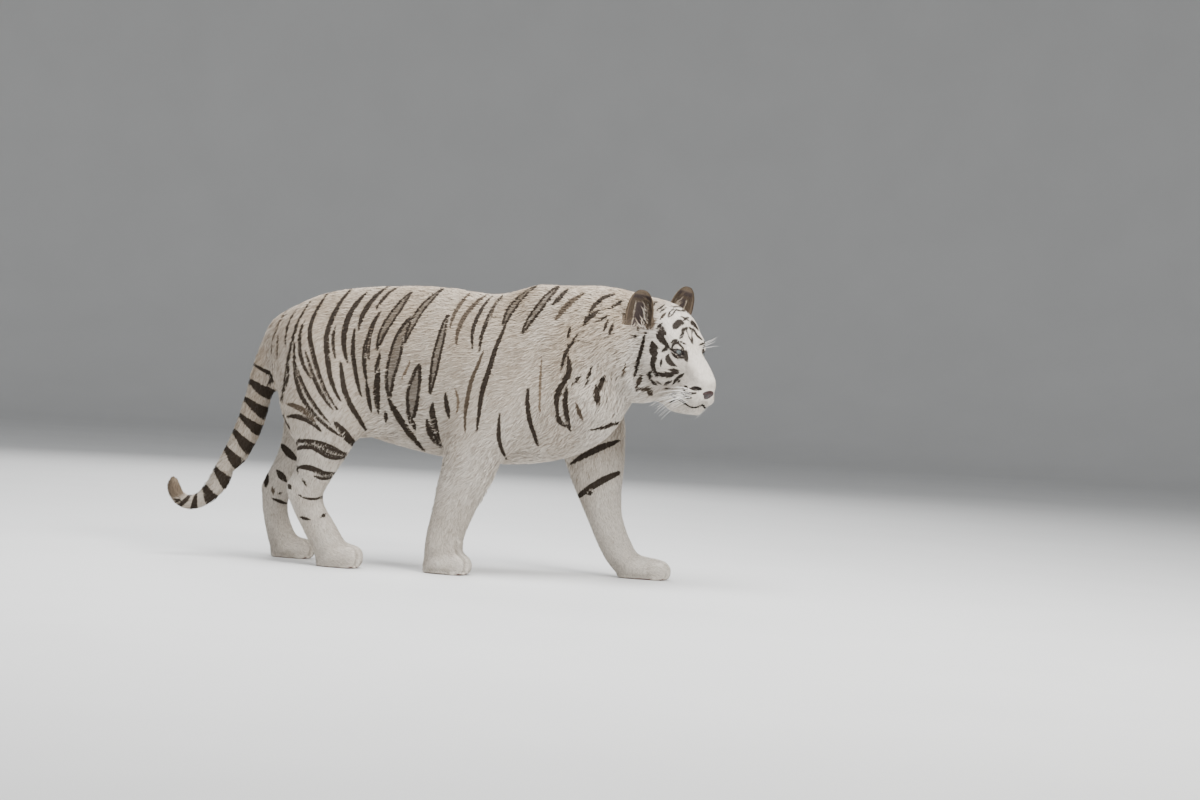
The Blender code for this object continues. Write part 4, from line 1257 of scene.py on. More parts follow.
@dataclass(frozen=True)
class Paw:
    """One paw's place on the floor, and the grooves between its four toes."""

    at: tuple[float, float]
    half_length: float
    half_width: float
    turn: float  # degrees about Z
    gaps: tuple[float, ...] = (-0.50, 0.0, 0.50)  # across the paw, in half widths
    crowns: tuple[float, ...] = (-0.76, -0.25, 0.25, 0.76)  # the toes' middles, likewise
    depth: float = 0.0105
    groove: float = 0.0052  # half width
    toe: float = 0.012  # half width
    swell: float = 0.0050  # of the toes between the grooves

    def local(self, points: Array) -> Array:
        """Points as shares of the paw's half length and half width, and height in metres."""
        angle = math.radians(self.turn)
        off = points[:, :2] - np.array(self.at)
        ahead = (off[:, 0] * math.cos(angle) + off[:, 1] * math.sin(angle)) / self.half_length
        across = (off[:, 1] * math.cos(angle) - off[:, 0] * math.sin(angle)) / self.half_width
        return np.column_stack([ahead, across, points[:, 2]])

    def toes(self, points: Array) -> tuple[Array, Array]:
        """How deep in the gaps between the toes, and how high on a toe, each point is.

        Args:
            points: places in the row frame.

        Returns:
            Two numbers from 0 to 1 for each point.
        """
        ahead, across, height = self.local(points).T
        on = (np.abs(across) < 1.5) & (ahead < 1.6) & (height < 0.11)
        reach = smooth_step(0.12, 0.55, ahead) * smooth_step(0.004, 0.010, height) * on
        fan = 0.80 + 0.22 * np.clip(ahead, 0, 1)
        gap, crown = (
            np.min([np.abs(across - place * fan) for place in places], 0) * self.half_width
            for places in (self.gaps, self.crowns)
        )
        return reach * np.exp(-((gap / self.groove) ** 2)), reach * np.exp(-((crown / self.toe) ** 2))


PAWS = (
    Paw((0.052, -0.139), 0.086, 0.068, -6),
    Paw((0.716, 0.151), 0.096, 0.070, 4),
    Paw((-0.310, -0.133), 0.082, 0.061, -4),
    Paw((-0.501, 0.145), 0.080, 0.061, 3),
)


@dataclass
class Skin:
    """One closed skin over the whole animal, inside the tips of the coat."""

    flesh: Flesh
    voxel: float = 0.0095
    swell: float = 0.001  # closes the thin cuts between the solids
    passes: int = 26
    depth_share: float = 0.9  # of the tips' height over the skin
    sole: float = 0.010
    graft: float = 0.0235  # radius of the patch round each eye
    lid: float = 0.0019  # thickness of a lid's edge
    obj: bpy.types.Object | None = None
    tree: BVHTree | None = None

    def smoothing(self, owners: Array) -> Array:
        """How strongly each vertex is smoothed, by the solid it belongs to.

        Args:
            owners: numbers into the flesh's nodes.

        Returns:
            Strengths from 0 to 1.
        """
        strength = {**dict.fromkeys(TRUNK_NODES, 1.0), **dict.fromkeys(LEG_NODES, 0.55)}
        strength |= {**dict.fromkeys(TAIL_NODES, 0.5), **dict.fromkeys(PAW_NODES, 0.12), "head": 0.25}
        return np.array([strength.get(node, 0.1) for node in self.flesh.nodes])[owners]

    def gathered(self) -> bpy.types.Mesh:
        """Merged and slightly swollen copies of the solids, in one mesh.

        Returns:
            The mesh.
        """
        whole = bmesh.new()
        for node in self.flesh.nodes:
            part = bmesh.new()
            part.from_mesh(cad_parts[node].data)
            bmesh.ops.remove_doubles(part, verts=part.verts, dist=1e-5)
            part.normal_update()
            for vert in part.verts:
                vert.co += vert.normal * self.swell
            copy = mesh_of(part, node)
            whole.from_mesh(copy)
            bpy.data.meshes.remove(copy)
        return mesh_of(whole, "skin")

    def remeshed(self) -> bpy.types.Mesh:
        """The solids as one even surface of small quads.

        Returns:
            The mesh.
        """
        holder = new_object("gathered", self.gathered())
        modifier = holder.modifiers.new("even", "REMESH")
        modifier.mode = "VOXEL"
        modifier.voxel_size = self.voxel
        mesh = evaluated_mesh(holder)
        bpy.data.objects.remove(holder)
        return mesh

    @staticmethod
    def relaxed(points: Array, edges: Array, strength: Array, passes: int) -> Array:
        """Points moved towards the middle of their neighbours.

        Args:
            points: rows.
            edges: pairs of row numbers.
            strength: one number a row, or one for all.
            passes: how often.

        Returns:
            The moved rows.
        """
        count = len(points)
        ends = np.concatenate([edges[:, 0], edges[:, 1]])
        others = np.concatenate([edges[:, 1], edges[:, 0]])
        degree = np.maximum(np.bincount(ends, minlength=count), 1)
        moved = points.copy()
        for _ in range(passes):
            columns = [
                np.bincount(ends, weights=moved[others, k], minlength=count) / degree
                for k in range(moved.shape[1])
            ]
            moved += 0.5 * np.reshape(strength, (-1, 1)) * (np.stack(columns, 1) - moved)
        return moved

    @staticmethod
    def edges_of(mesh: bpy.types.Mesh) -> Array:
        """The mesh's edges as pairs of vertex numbers."""
        rows = np.empty(len(mesh.edges) * 2, np.int32)
        mesh.edges.foreach_get("vertices", rows)
        return rows.reshape(-1, 2)

    def drawn_in(self, mesh: bpy.types.Mesh) -> None:
        """Smooths the surface and moves it inside the solids by the coat's depth.

        Args:
            mesh: the remeshed surface.
        """
        points, edges = mesh_points(mesh), self.edges_of(mesh)
        strength = self.smoothing(self.flesh.owners(points))[:, None]
        strength = self.relaxed(strength, edges, 1.0, 8)[:, 0]
        sole = smooth_step(self.sole, 0.5 * self.sole, points[:, 2])
        strength *= 1 - sole
        smooth = self.relaxed(points, edges, strength, self.passes)
        put_points(mesh, smooth)
        normals = mesh_normals(mesh)
        shrunk = ((points - smooth) * normals).sum(1)[:, None]
        shrunk = self.relaxed(shrunk, edges, 1.0, 10)[:, 0]
        stand = COAT_MAP.read(smooth)[2]
        inward = (self.depth_share * stand + self.swell) * (1 - sole) - shrunk
        moved = smooth - normals * inward[:, None]
        moved = self.relaxed(moved, edges, strength * 0.5, 4)
        pressed = np.maximum(points[:, 2], 0.0) * sole + moved[:, 2] * (1 - sole)
        moved[:, 2] = np.where(sole > 0, pressed, moved[:, 2])
        moved[:, 2] = np.maximum(moved[:, 2], 0.0)
        put_points(mesh, moved)

    def refined(self, form: bmesh.types.BMesh, chosen: Array) -> None:
        """Splits the faces whose corners are all chosen into four.

        Args:
            form: the skin.
            chosen: one truth value a vertex.
        """
        form.verts.ensure_lookup_table()
        edges = [edge for edge in form.edges if all(chosen[vert.index] for vert in edge.verts)]
        bmesh.ops.subdivide_edges(form, edges=edges, cuts=1, use_grid_fill=True, smooth=0.6)
        form.verts.index_update()

    def face_zone(self, points: Array, close: bool) -> Array:
        """Whether each point needs a finer mesh.

        Args:
            points: places in the row frame.
            close: asks for the finest zone, round the eyes, nose and mouth.

        Returns:
            Truth values.
        """
        local = HEAD.inward(points)
        if not close:
            head = (local[:, 0] > -0.25) & (np.linalg.norm(local - (-0.13, 0, 0.02), axis=1) < 0.22)
            return head | (points[:, 2] < 0.085)
        eyes = np.min([np.linalg.norm(points - eye.origin, axis=1) for eye in EYE_FRAMES.values()], 0)
        muzzle = (local[:, 0] > -0.075) & (local[:, 2] < 0.045) & (np.abs(local[:, 1]) < 0.075)
        lips = (local[:, 0] > -0.11) & (np.abs(local[:, 2] + 0.052) < 0.02)
        toes = np.zeros(len(points), bool)
        for paw in PAWS:
            ahead, across, height = paw.local(points).T
            near = (ahead > 0.15) & (ahead < 1.6) & (np.abs(across) < 1.3)
            toes |= near & (height > 0.004) & (height < 0.09)
        return (eyes < 0.042) | ((muzzle | lips) & (local[:, 2] > -0.085)) | toes

    def creased(self, mesh: bpy.types.Mesh) -> None:
        """Presses the face's folds into the skin and the gaps between the toes.

        Args:
            mesh: the refined skin.
        """
        points, normals = mesh_points(mesh), mesh_normals(mesh)
        push = np.zeros(len(points))
        for crease in FACE_CREASES:
            for side in Side:
                if side is Side.LEFT and all(row[1] == 0 for row in crease.line):
                    continue
                controls = HEAD.outward(np.array(crease.line, float) * MM * (1, side.value, 1))
                line = catmull_rom(controls, 24)
                middle = line.mean(0)
                reach = np.linalg.norm(line - middle, axis=1).max() + 3 * crease.half_width * MM
                near = np.flatnonzero(np.linalg.norm(points - middle, axis=1) < reach)
                gap = np.linalg.norm(points[near, None] - line[None], axis=2).min(1)
                push[near] -= crease.depth * MM * np.exp(-((gap / (crease.half_width * MM)) ** 2))
        for paw in PAWS:
            groove, toe = paw.toes(points)
            push += toe * paw.swell - groove * paw.depth
        points = points + normals * push[:, None]
        points[:, 2] = np.maximum(points[:, 2], 0.0002)
        put_points(mesh, points)

    def grafted(self, form: bmesh.types.BMesh, eye: EyeFrame) -> None:
        """Replaces the skin over an eye by two lids and the pocket behind them.

        Args:
            form: the skin.
            eye: the eye's frame.
        """
        doomed = []
        for face in form.faces:
            middle = face.calc_center_median()
            if (middle - Vector(eye.origin)).length > 0.05:
                continue
            out, up, ahead = eye.inward(np.array([middle]))[0]
            if math.hypot(out, up) < self.graft and ahead > -0.008:
                doomed.append(face)
        bmesh.ops.delete(form, geom=doomed, context="FACES")
        loose = [vert for vert in form.verts if not vert.link_faces]
        bmesh.ops.delete(form, geom=loose, context="VERTS")
        ring = self.open_ring(form, eye)
        edge = eye.inward(np.array([vert.co for vert in ring]))
        angle = np.unwrap(np.arctan2(edge[:, 1], edge[:, 0]))
        even = angle[0] + math.copysign(2 * math.pi, angle[-1] - angle[0]) * np.arange(len(ring)) / len(ring)
        angle = 0.4 * angle + 0.6 * even
        normals = np.array([vert.normal for vert in ring]) @ eye.axes
        rows = self.lid_rows(edge, angle, normals)
        last = ring
        for row in rows:
            fresh = [form.verts.new(place) for place in eye.outward(row)]
            for step in range(len(ring)):
                after = (step + 1) % len(ring)
                form.faces.new((last[step], last[after], fresh[after], fresh[step]))
            last = fresh
        form.faces.new(last)

    def open_ring(self, form: bmesh.types.BMesh, eye: EyeFrame) -> list[bmesh.types.BMVert]:
        """The vertices round the hole over an eye, in order.

        Args:
            form: the skin with its hole.
            eye: the eye's frame.

        Returns:
            The longest open ring near the eye.
        """
        near = [
            edge
            for edge in form.edges
            if edge.is_boundary and (edge.verts[0].co - Vector(eye.origin)).length < 0.06
        ]
        best: list[bmesh.types.BMVert] = []
        while near:
            start, now = near[0].verts
            ring = [start]
            used = {near[0]}
            while now is not start:
                ring.append(now)
                onward = next(edge for edge in now.link_edges if edge.is_boundary and edge not in used)
                used.add(onward)
                now = onward.other_vert(now)
            near = [edge for edge in near if edge not in used]
            best = max(best, ring, key=len)
        return best

    def lid_rows(self, edge: Array, angle: Array, normals: Array) -> list[Array]:
        """Rings of points from the skin over the lids' edge and round behind the eye.

        Args:
            edge: the hole's ring in the eye's frame.
            angle: direction of each of its points round the gaze.
            normals: the skin's normals there.

        Returns:
            Rings in the eye's frame.
        """
        heading = np.column_stack([np.cos(angle), np.sin(angle)])
        rim = OPENING.radius(angle)
        top = EYE_RADIUS + self.lid
        rim_height = np.sqrt(top**2 - rim**2)
        far = np.hypot(edge[:, 0], edge[:, 1])
        radial = (normals[:, :2] * heading).sum(1)
        slope_out = np.clip(-radial / np.maximum(normals[:, 2], 0.3), -1.2, 0.6) * (rim - far)
        slope_in = 0.75 * rim / rim_height * (far - rim)
        rows = []
        for share in np.linspace(0, 1, 12)[1:]:
            flat = edge[:, :2] * (1 - share) + heading * rim[:, None] * share
            a, b, c, d = self.hermite(share)
            height = a * edge[:, 2] + b * slope_out + c * rim_height + d * slope_in
            fold = np.exp(-(((share - 0.62) / 0.10) ** 2)) * np.where(np.sin(angle) > 0, 0.0012, 0.0007)
            rows.append(np.column_stack([flat, height - fold]))
        for pull, lift in ((0.975, 0.75), (0.955, 0.35), (0.965, 0.12)):
            reach = rim * pull
            height = np.sqrt((EYE_RADIUS + lift * self.lid) ** 2 - reach**2)
            rows.append(np.column_stack([heading * reach[:, None], height]))
        start = np.arcsin(rim * 0.98 / EYE_RADIUS)
        for share in (0.25, 0.5, 0.75, 0.95):
            polar = start + (math.pi - start) * share
            reach = (EYE_RADIUS + 0.0003) * np.sin(polar)
            rows.append(np.column_stack([heading * reach[:, None], (EYE_RADIUS + 0.0003) * np.cos(polar)]))
        return rows

    @staticmethod
    def hermite(share: float) -> tuple[float, float, float, float]:
        """The four weights of a cubic between two heights with given slopes."""
        square, cube = share**2, share**3
        return 2 * cube - 3 * square + 1, cube - 2 * square + share, 3 * square - 2 * cube, cube - square

    def with_ears(self, mesh: bpy.types.Mesh) -> bpy.types.Mesh:
        """The skin with both ears united to it.

        Args:
            mesh: the closed skin.

        Returns:
            The united mesh.
        """
        holder = new_object("skin_with_ears", mesh)
        tools = []
        for ear in EARS.values():
            tool = new_object("ear", mesh_of(ear.shell(), "ear"))
            tools.append(tool)
            modifier = holder.modifiers.new("ear", "BOOLEAN")
            modifier.operation = "UNION"
            modifier.solver = "EXACT"
            modifier.object = tool
        united = evaluated_mesh(holder)
        for tool in (holder, *tools):
            bpy.data.objects.remove(tool)
        return united

    def build(self) -> bpy.types.Object:
        """Makes the whole skin.

        Returns:
            Its object, at the origin.
        """
        mesh = self.remeshed()
        LOG.info("even surface: %d vertices", len(mesh.vertices))
        self.drawn_in(mesh)
        form = bmesh.new()
        form.from_mesh(mesh)
        for close in (False, True):
            points = np.array([vert.co for vert in form.verts])
            self.refined(form, self.face_zone(points, close))
            form.normal_update()
        form.to_mesh(mesh)
        points = mesh_points(mesh)
        fine = self.face_zone(points, False) & (points[:, 2] > self.sole)
        put_points(mesh, self.relaxed(points, self.edges_of(mesh), fine * 0.5, 2))
        self.creased(mesh)
        form.clear()
        form.from_mesh(mesh)
        for eye in EYE_FRAMES.values():
            form.normal_update()
            self.grafted(form, eye)
        bmesh.ops.recalc_face_normals(form, faces=form.faces)
        bmesh.ops.triangulate(form, faces=form.faces)
        form.to_mesh(mesh)
        form.free()
        mesh = self.with_ears(mesh)
        mesh.name = "skin"
        shade_smooth(mesh)
        self.obj = new_object("skin", mesh)
        faces = [tuple(face.vertices) for face in mesh.polygons]
        self.tree = BVHTree.FromPolygons([vert.co for vert in mesh.vertices], faces)
        LOG.info("skin: %d faces", len(mesh.polygons))
        return self.obj


# ---------------------------------------------------------------------------------------------------
# Eyes, nose leather and whiskers


@dataclass
class Eye:
    """One eyeball with its bulging clear front, as a closed ball."""

    frame_of: EyeFrame
    around: int = 48
    rows: int = 40
    bulge: float = 0.0007  # of the clear front over the ball
    inset: float = 0.0002  # of the ball behind the lids

    def build(self) -> bpy.types.Object:
        """Makes the eye.

        Returns:
            Its object, at the origin.
        """
        form = bmesh.new()
        polar = np.linspace(0, math.pi, self.rows + 1)[1:-1]
        radius = EYE_RADIUS - self.inset + self.bulge * np.exp(-((polar / 0.42) ** 4))
        turns = np.linspace(0, 2 * math.pi, self.around, endpoint=False)
        rings = []
        for angle, reach in zip(polar, radius):
            ring = np.column_stack(
                [
                    reach * math.sin(angle) * np.cos(turns),
                    reach * math.sin(angle) * np.sin(turns),
                    np.full(self.around, reach * math.cos(angle)),
                ]
            )
            rings.append([form.verts.new(place) for place in self.frame_of.outward(ring)])
        poles = self.frame_of.outward(
            np.array([(0, 0, EYE_RADIUS - self.inset + self.bulge), (0, 0, -EYE_RADIUS)])
        )
        front, back = (form.verts.new(place) for place in poles)
        for low, high in zip(rings, rings[1:]):
            bridge(form, low, high)
        for step in range(self.around):
            after = (step + 1) % self.around
            form.faces.new((front, rings[0][step], rings[0][after]))
            form.faces.new((back, rings[-1][after], rings[-1][step]))
        bmesh.ops.recalc_face_normals(form, faces=form.faces)
        mesh = mesh_of(form, "eye_" + self.frame_of.side.word)
        shade_smooth(mesh)
        self.dress(mesh)
        return new_object("eyeball_" + self.frame_of.side.word, mesh)

    def dress(self, mesh: bpy.types.Mesh) -> None:
        """Stores how far each point is from the gaze, and the turn round it.

        Args:
            mesh: the eye.
        """
        local = self.frame_of.inward(mesh_points(mesh))
        off = np.hypot(local[:, 0], local[:, 1]) / EYE_RADIUS
        off = np.where(local[:, 2] > 0, off, 2 - off)
        round_it = np.arctan2(local[:, 1], local[:, 0])
        rows = [off, 0.5 + 0.5 * np.cos(round_it), 0.5 + 0.5 * np.sin(round_it), np.ones(len(off))]
        put_colour(mesh, "gaze", np.column_stack(rows))


@dataclass
class NoseLeather:
    """The bare leather between the nostrils, in the head's frame."""

    middle: tuple[float, float, float] = (-0.0065, 0.0, -0.002)
    half: tuple[float, float, float] = (0.0205, 0.0300, 0.0215)
    lean: float = math.radians(24)
    around: int = 96
    rows: int = 72
    nostril: tuple[float, float, float] = (0.0125, 0.0155, -0.001)
    nostril_depth: float = 0.0075
    slit_depth: float = 0.0030
    groove_depth: float = 0.0014
    full_dent: float = 0.006  # the depth stored as 1

    def build(self) -> bpy.types.Object:
        """Makes the nose leather.

        Returns:
            Its object, at the origin.
        """
        form = bmesh.new()
        bmesh.ops.create_uvsphere(form, u_segments=self.around, v_segments=self.rows, radius=1.0)
        mesh = mesh_of(form, "nose_leather")
        ball = mesh_points(mesh)[:, [2, 0, 1]]  # the poles point ahead and back
        put_points(mesh, self.outline(ball))
        local, normals = mesh_points(mesh), mesh_normals(mesh)
        depth, dark = self.dents(local)
        local = local - normals * depth[:, None]
        turn = np.array(Matrix.Rotation(self.lean, 3, "Y"))
        put_points(mesh, HEAD.outward(local @ turn.T + self.middle))
        shade_smooth(mesh)
        form = bmesh.new()
        form.from_mesh(mesh)
        bmesh.ops.recalc_face_normals(form, faces=form.faces)
        form.to_mesh(mesh)
        form.free()
        put_colour(mesh, "dent", np.column_stack([dark, depth / self.full_dent, dark * 0, dark * 0 + 1]))
        return new_object("nose_leather", mesh)

    def outline(self, ball: Array) -> Array:
        """The ball drawn out to the nose's outline: broad above, narrow below.

        Args:
            ball: points of a ball of radius one.

        Returns:
            Points round the nose's own middle.
        """
        low = smooth_step(0.25, -1.0, ball[:, 2])
        points = ball * self.half
        points[:, 1] *= 1.0 - 0.62 * low
        points[:, 0] += 0.003 * low * (ball[:, 0] > 0)
        wing = np.exp(-(((np.abs(ball[:, 1]) - 0.62) / 0.25) ** 2)) * smooth_step(-0.6, 0.0, ball[:, 2])
        points[:, 0] += 0.0030 * wing * np.maximum(ball[:, 0], 0)
        return points

    def dents(self, local: Array) -> tuple[Array, Array]:
        """How deep the nostrils, their slits and the middle groove are at each point.

        Args:
            local: points round the nose's own middle.

        Returns:
            Depths in metres, and how dark each point is painted as the shade inside the nostrils and their
            slits.
        """
        place = np.column_stack([local[:, 0], np.abs(local[:, 1]), local[:, 2]])
        ahead = smooth_step(-0.004, 0.004, local[:, 0])
        opening = np.linalg.norm((place - self.nostril) * (0.8, 1.0, 1.15), axis=1)
        nostril = np.exp(-((opening / 0.0050) ** 2)) * ahead
        slit_line = catmull_rom(np.array([self.nostril, (0.009, 0.0235, 0.0), (-0.002, 0.0285, 0.0065)]), 20)
        slit_gap = np.linalg.norm(place[:, None] - slit_line[None], axis=2).min(1)
        slit = np.exp(-((slit_gap / 0.0021) ** 2))
        groove = np.exp(-((place[:, 1] / 0.0016) ** 2)) * smooth_step(0.014, 0.004, local[:, 2]) * ahead
        depth = self.nostril_depth * nostril + self.slit_depth * slit * (1 - nostril)
        depth += self.groove_depth * groove
        # The darkness is painted shade inside the nostrils and along their slits.
        return depth, np.clip(1.25 * nostril + 0.8 * slit, 0, 1)


@dataclass(frozen=True)
class WhiskerRow:
    """A row of whiskers on the right whisker pad, in the head's frame and in mm."""

    start: tuple[float, float, float]
    end: tuple[float, float, float]
    count: int
    heading: tuple[float, float, float]
    length: float


WHISKER_ROWS = (
    WhiskerRow((-24, 50, -3), (-54, 50, -6), 3, (-0.80, 0.42, -0.30), 70),
    WhiskerRow((-16, 52, -14), (-70, 52, -22), 6, (-0.80, 0.40, -0.46), 104),
    WhiskerRow((-14, 54, -26), (-74, 52, -34), 7, (-0.74, 0.36, -0.60), 116),
    WhiskerRow((-16, 50, -38), (-70, 50, -44), 6, (-0.64, 0.30, -0.74), 96),
    WhiskerRow((-112, 44, 116), (-146, 66, 124), 4, (0.55, 0.30, 0.75), 62),
)


@dataclass
class Whiskers:
    """All whiskers, as tapered tubes along bent lines."""

    skin: BVHTree
    root_radius: float = 0.00085
    tip_share: float = 0.22
    bow: float = 0.22  # outward, over the length
    droop: float = 0.16  # of the tip, over the length
    profile: int = 5
    steps: int = 9

    def lines(self) -> list[Array]:
        """The whiskers' lines in the row frame.

        Returns:
            Rows of points from root to tip.
        """
        draw = np.random.default_rng(77)
        made = []
        for side in Side:
            flip = np.array((1.0, side.value, 1.0))
            for row in WHISKER_ROWS:
                for share in (np.arange(row.count) + 0.5) / row.count:
                    root = (np.array(row.start) * (1 - share) + np.array(row.end) * share) * MM
                    heading = unit(np.array(row.heading) + draw.normal(0, 0.11, 3)) * flip
                    length = row.length * MM * draw.uniform(0.8, 1.12)
                    at, _, _, _ = self.skin.find_nearest(Vector(HEAD.outward(root * flip)))
                    begin = HEAD.inward(np.array([at]))[0] - heading * 0.002
                    along = np.linspace(0, 1, self.steps)[:, None]
                    out = np.array((0.0, self.bow * side.value, 0.0)) * np.sin(math.pi * along) * 0.5
                    droop = np.array((0.0, 0.0, -self.droop)) * along**2
                    made.append(HEAD.outward(begin + length * (along * heading + out + droop)))
        return made

    def tree(self) -> bpy.types.NodeTree:
        """The nodes that turn lines into tapered tubes.

        Returns:
            The node tree.
        """
        tree = bpy.data.node_groups.new("tapered whiskers", "GeometryNodeTree")
        face = tree.interface
        face.new_socket("Lines", in_out="INPUT", socket_type="NodeSocketGeometry")
        for name, value in (("Root radius", self.root_radius), ("Tip share", self.tip_share)):
            face.new_socket(name, in_out="INPUT", socket_type="NodeSocketFloat").default_value = value
        sides = face.new_socket("Sides", in_out="INPUT", socket_type="NodeSocketInt")
        sides.default_value = self.profile
        face.new_socket("Finish", in_out="INPUT", socket_type="NodeSocketMaterial")
        face.new_socket("Whiskers", in_out="OUTPUT", socket_type="NodeSocketGeometry")
        start = tree.nodes.new("NodeGroupInput")
        end = tree.nodes.new("NodeGroupOutput")

        def step(kind: str, sockets: dict, **settings: object) -> bpy.types.Node:
            """Adds a node with its settings and incoming links."""
            made = tree.nodes.new(kind)
            for name, value in settings.items():
                setattr(made, name, value)
            for name, source in sockets.items():
                tree.links.new(source, made.inputs[name])
            return made

        curves = step("GeometryNodeMeshToCurve", {"Mesh": start.outputs["Lines"]})
        along = step("GeometryNodeSplineParameter", {})
        taper = step(
            "ShaderNodeMapRange", {"Value": along.outputs["Factor"], "To Max": start.outputs["Tip share"]}
        )
        taper.inputs["To Min"].default_value = 1.0
        width = step(
            "ShaderNodeMath",
            {0: taper.outputs["Result"], 1: start.outputs["Root radius"]},
            operation="MULTIPLY",
        )
        ring = step("GeometryNodeCurvePrimitiveCircle", {"Resolution": start.outputs["Sides"]})
        ring.inputs["Radius"].default_value = 1.0
        paths = {"Curve": curves.outputs["Curve"], "Profile Curve": ring.outputs["Curve"]}
        tubes = step("GeometryNodeCurveToMesh", {**paths, "Scale": width.outputs[0]})
        tubes.inputs["Fill Caps"].default_value = True
        real = step("GeometryNodeRealizeInstances", {"Geometry": tubes.outputs["Mesh"]})
        dressed = step(
            "GeometryNodeSetMaterial",
            {"Geometry": real.outputs["Geometry"], "Material": start.outputs["Finish"]},
        )
        tree.links.new(dressed.outputs["Geometry"], end.inputs["Whiskers"])
        return tree

    def build(self, finish: bpy.types.Material) -> bpy.types.Object:
        """Makes the whiskers.

        Args:
            finish: their material.

        Returns:
            Their object, at the origin.
        """
        lines = self.lines()
        mesh = bpy.data.meshes.new("whisker_lines")
        points = np.vstack(lines)
        edges = []
        for number in range(len(lines)):
            first = number * self.steps
            edges += [(first + step, first + step + 1) for step in range(self.steps - 1)]
        mesh.from_pydata(points.tolist(), edges, [])
        holder = new_object("whisker_lines", mesh)
        modifier = holder.modifiers.new("tubes", "NODES")
        modifier.node_group = self.tree()
        sockets = {
            item.name: item.identifier
            for item in modifier.node_group.interface.items_tree
            if getattr(item, "in_out", "") == "INPUT"
        }
        modifier[sockets["Finish"]] = finish
        made = evaluated_mesh(holder)
        bpy.data.objects.remove(holder)
        made.name = "whiskers"
        shade_smooth(made)
        return new_object("whiskers", made)


# ---------------------------------------------------------------------------------------------------
# The coat


class Region(Enum):
    """The coat's pieces: which solids each lies over, and the line its unwrap runs along."""

    NECK = (("neck",), ((0.34, 0.0, 0.72), (0.80, -0.05, 0.78)))
    CHEST = (("chest",), ((0.08, 0.0, 0.66), (0.66, 0.0, 0.66)))
    BELLY = (("belly",), ((-0.29, 0.0, 0.64), (0.14, 0.0, 0.66)))
    RUMP = (("rump",), ((-0.65, 0.0, 0.66), (-0.25, 0.0, 0.66)))
    FORELEG = (("foreleg", "forepaw"), ())
    HINDLEG = (("shank", "hindpaw"), ())
    HEAD = (("head", "nose_pad", "eye_left", "eye_right"), ())
    TAIL = (
        TAIL_NODES,
        (
            (-0.58, 0.0, 0.76), (-0.63, 0.0, 0.54), (-0.70, 0.0, 0.35),
            (-0.80, 0.0, 0.19), (-0.92, -0.04, 0.26),
        ),
    )
    EARS = ((), ())


LEG_LINES = {
    (Region.FORELEG, Side.RIGHT): (
        (0.24, -0.15, 0.66), (0.09, -0.14, 0.32), (0.04, -0.14, 0.10), (0.14, -0.14, 0.0),
    ),
    (Region.FORELEG, Side.LEFT): (
        (0.48, 0.15, 0.60), (0.54, 0.15, 0.34), (0.62, 0.15, 0.10), (0.82, 0.15, 0.02),
    ),
    (Region.HINDLEG, Side.RIGHT): (
        (-0.36, -0.15, 0.50), (-0.43, -0.15, 0.24), (-0.36, -0.14, 0.08), (-0.22, -0.14, 0.0),
    ),
    (Region.HINDLEG, Side.LEFT): (
        (-0.44, 0.15, 0.52), (-0.58, 0.15, 0.26), (-0.54, 0.15, 0.08), (-0.40, 0.15, 0.0),
    ),
}


@dataclass(frozen=True)
class Roots:
    """Where tufts stand on the skin and how they lie, a row for each."""

    at: Array
    normal: Array
    lie: Array
    length: Array
    stand: Array

    def picked(self, chosen: Array) -> "Roots":
        """The chosen roots."""
        return self.relaid(chosen, self.lie[chosen], self.length[chosen], self.stand[chosen])

    def relaid(self, chosen: Array, lie: Array, length: Array, stand: Array) -> "Roots":
        """The chosen roots with other fur on them."""
        return Roots(self.at[chosen], self.normal[chosen], lie, length, stand)


# Corners are numbered round the root, then round the bend where there is one; the tip is last.
POINT_FACES = ((0, 1, 3), (1, 2, 3), (2, 0, 3), (0, 2, 1))
LOCK_FACES = (
    *((0, 1, 4), (0, 4, 3), (1, 2, 5), (1, 5, 4), (2, 0, 3), (2, 3, 5)),
    *((3, 4, 6), (4, 5, 6), (5, 3, 6), (0, 2, 1)),
)


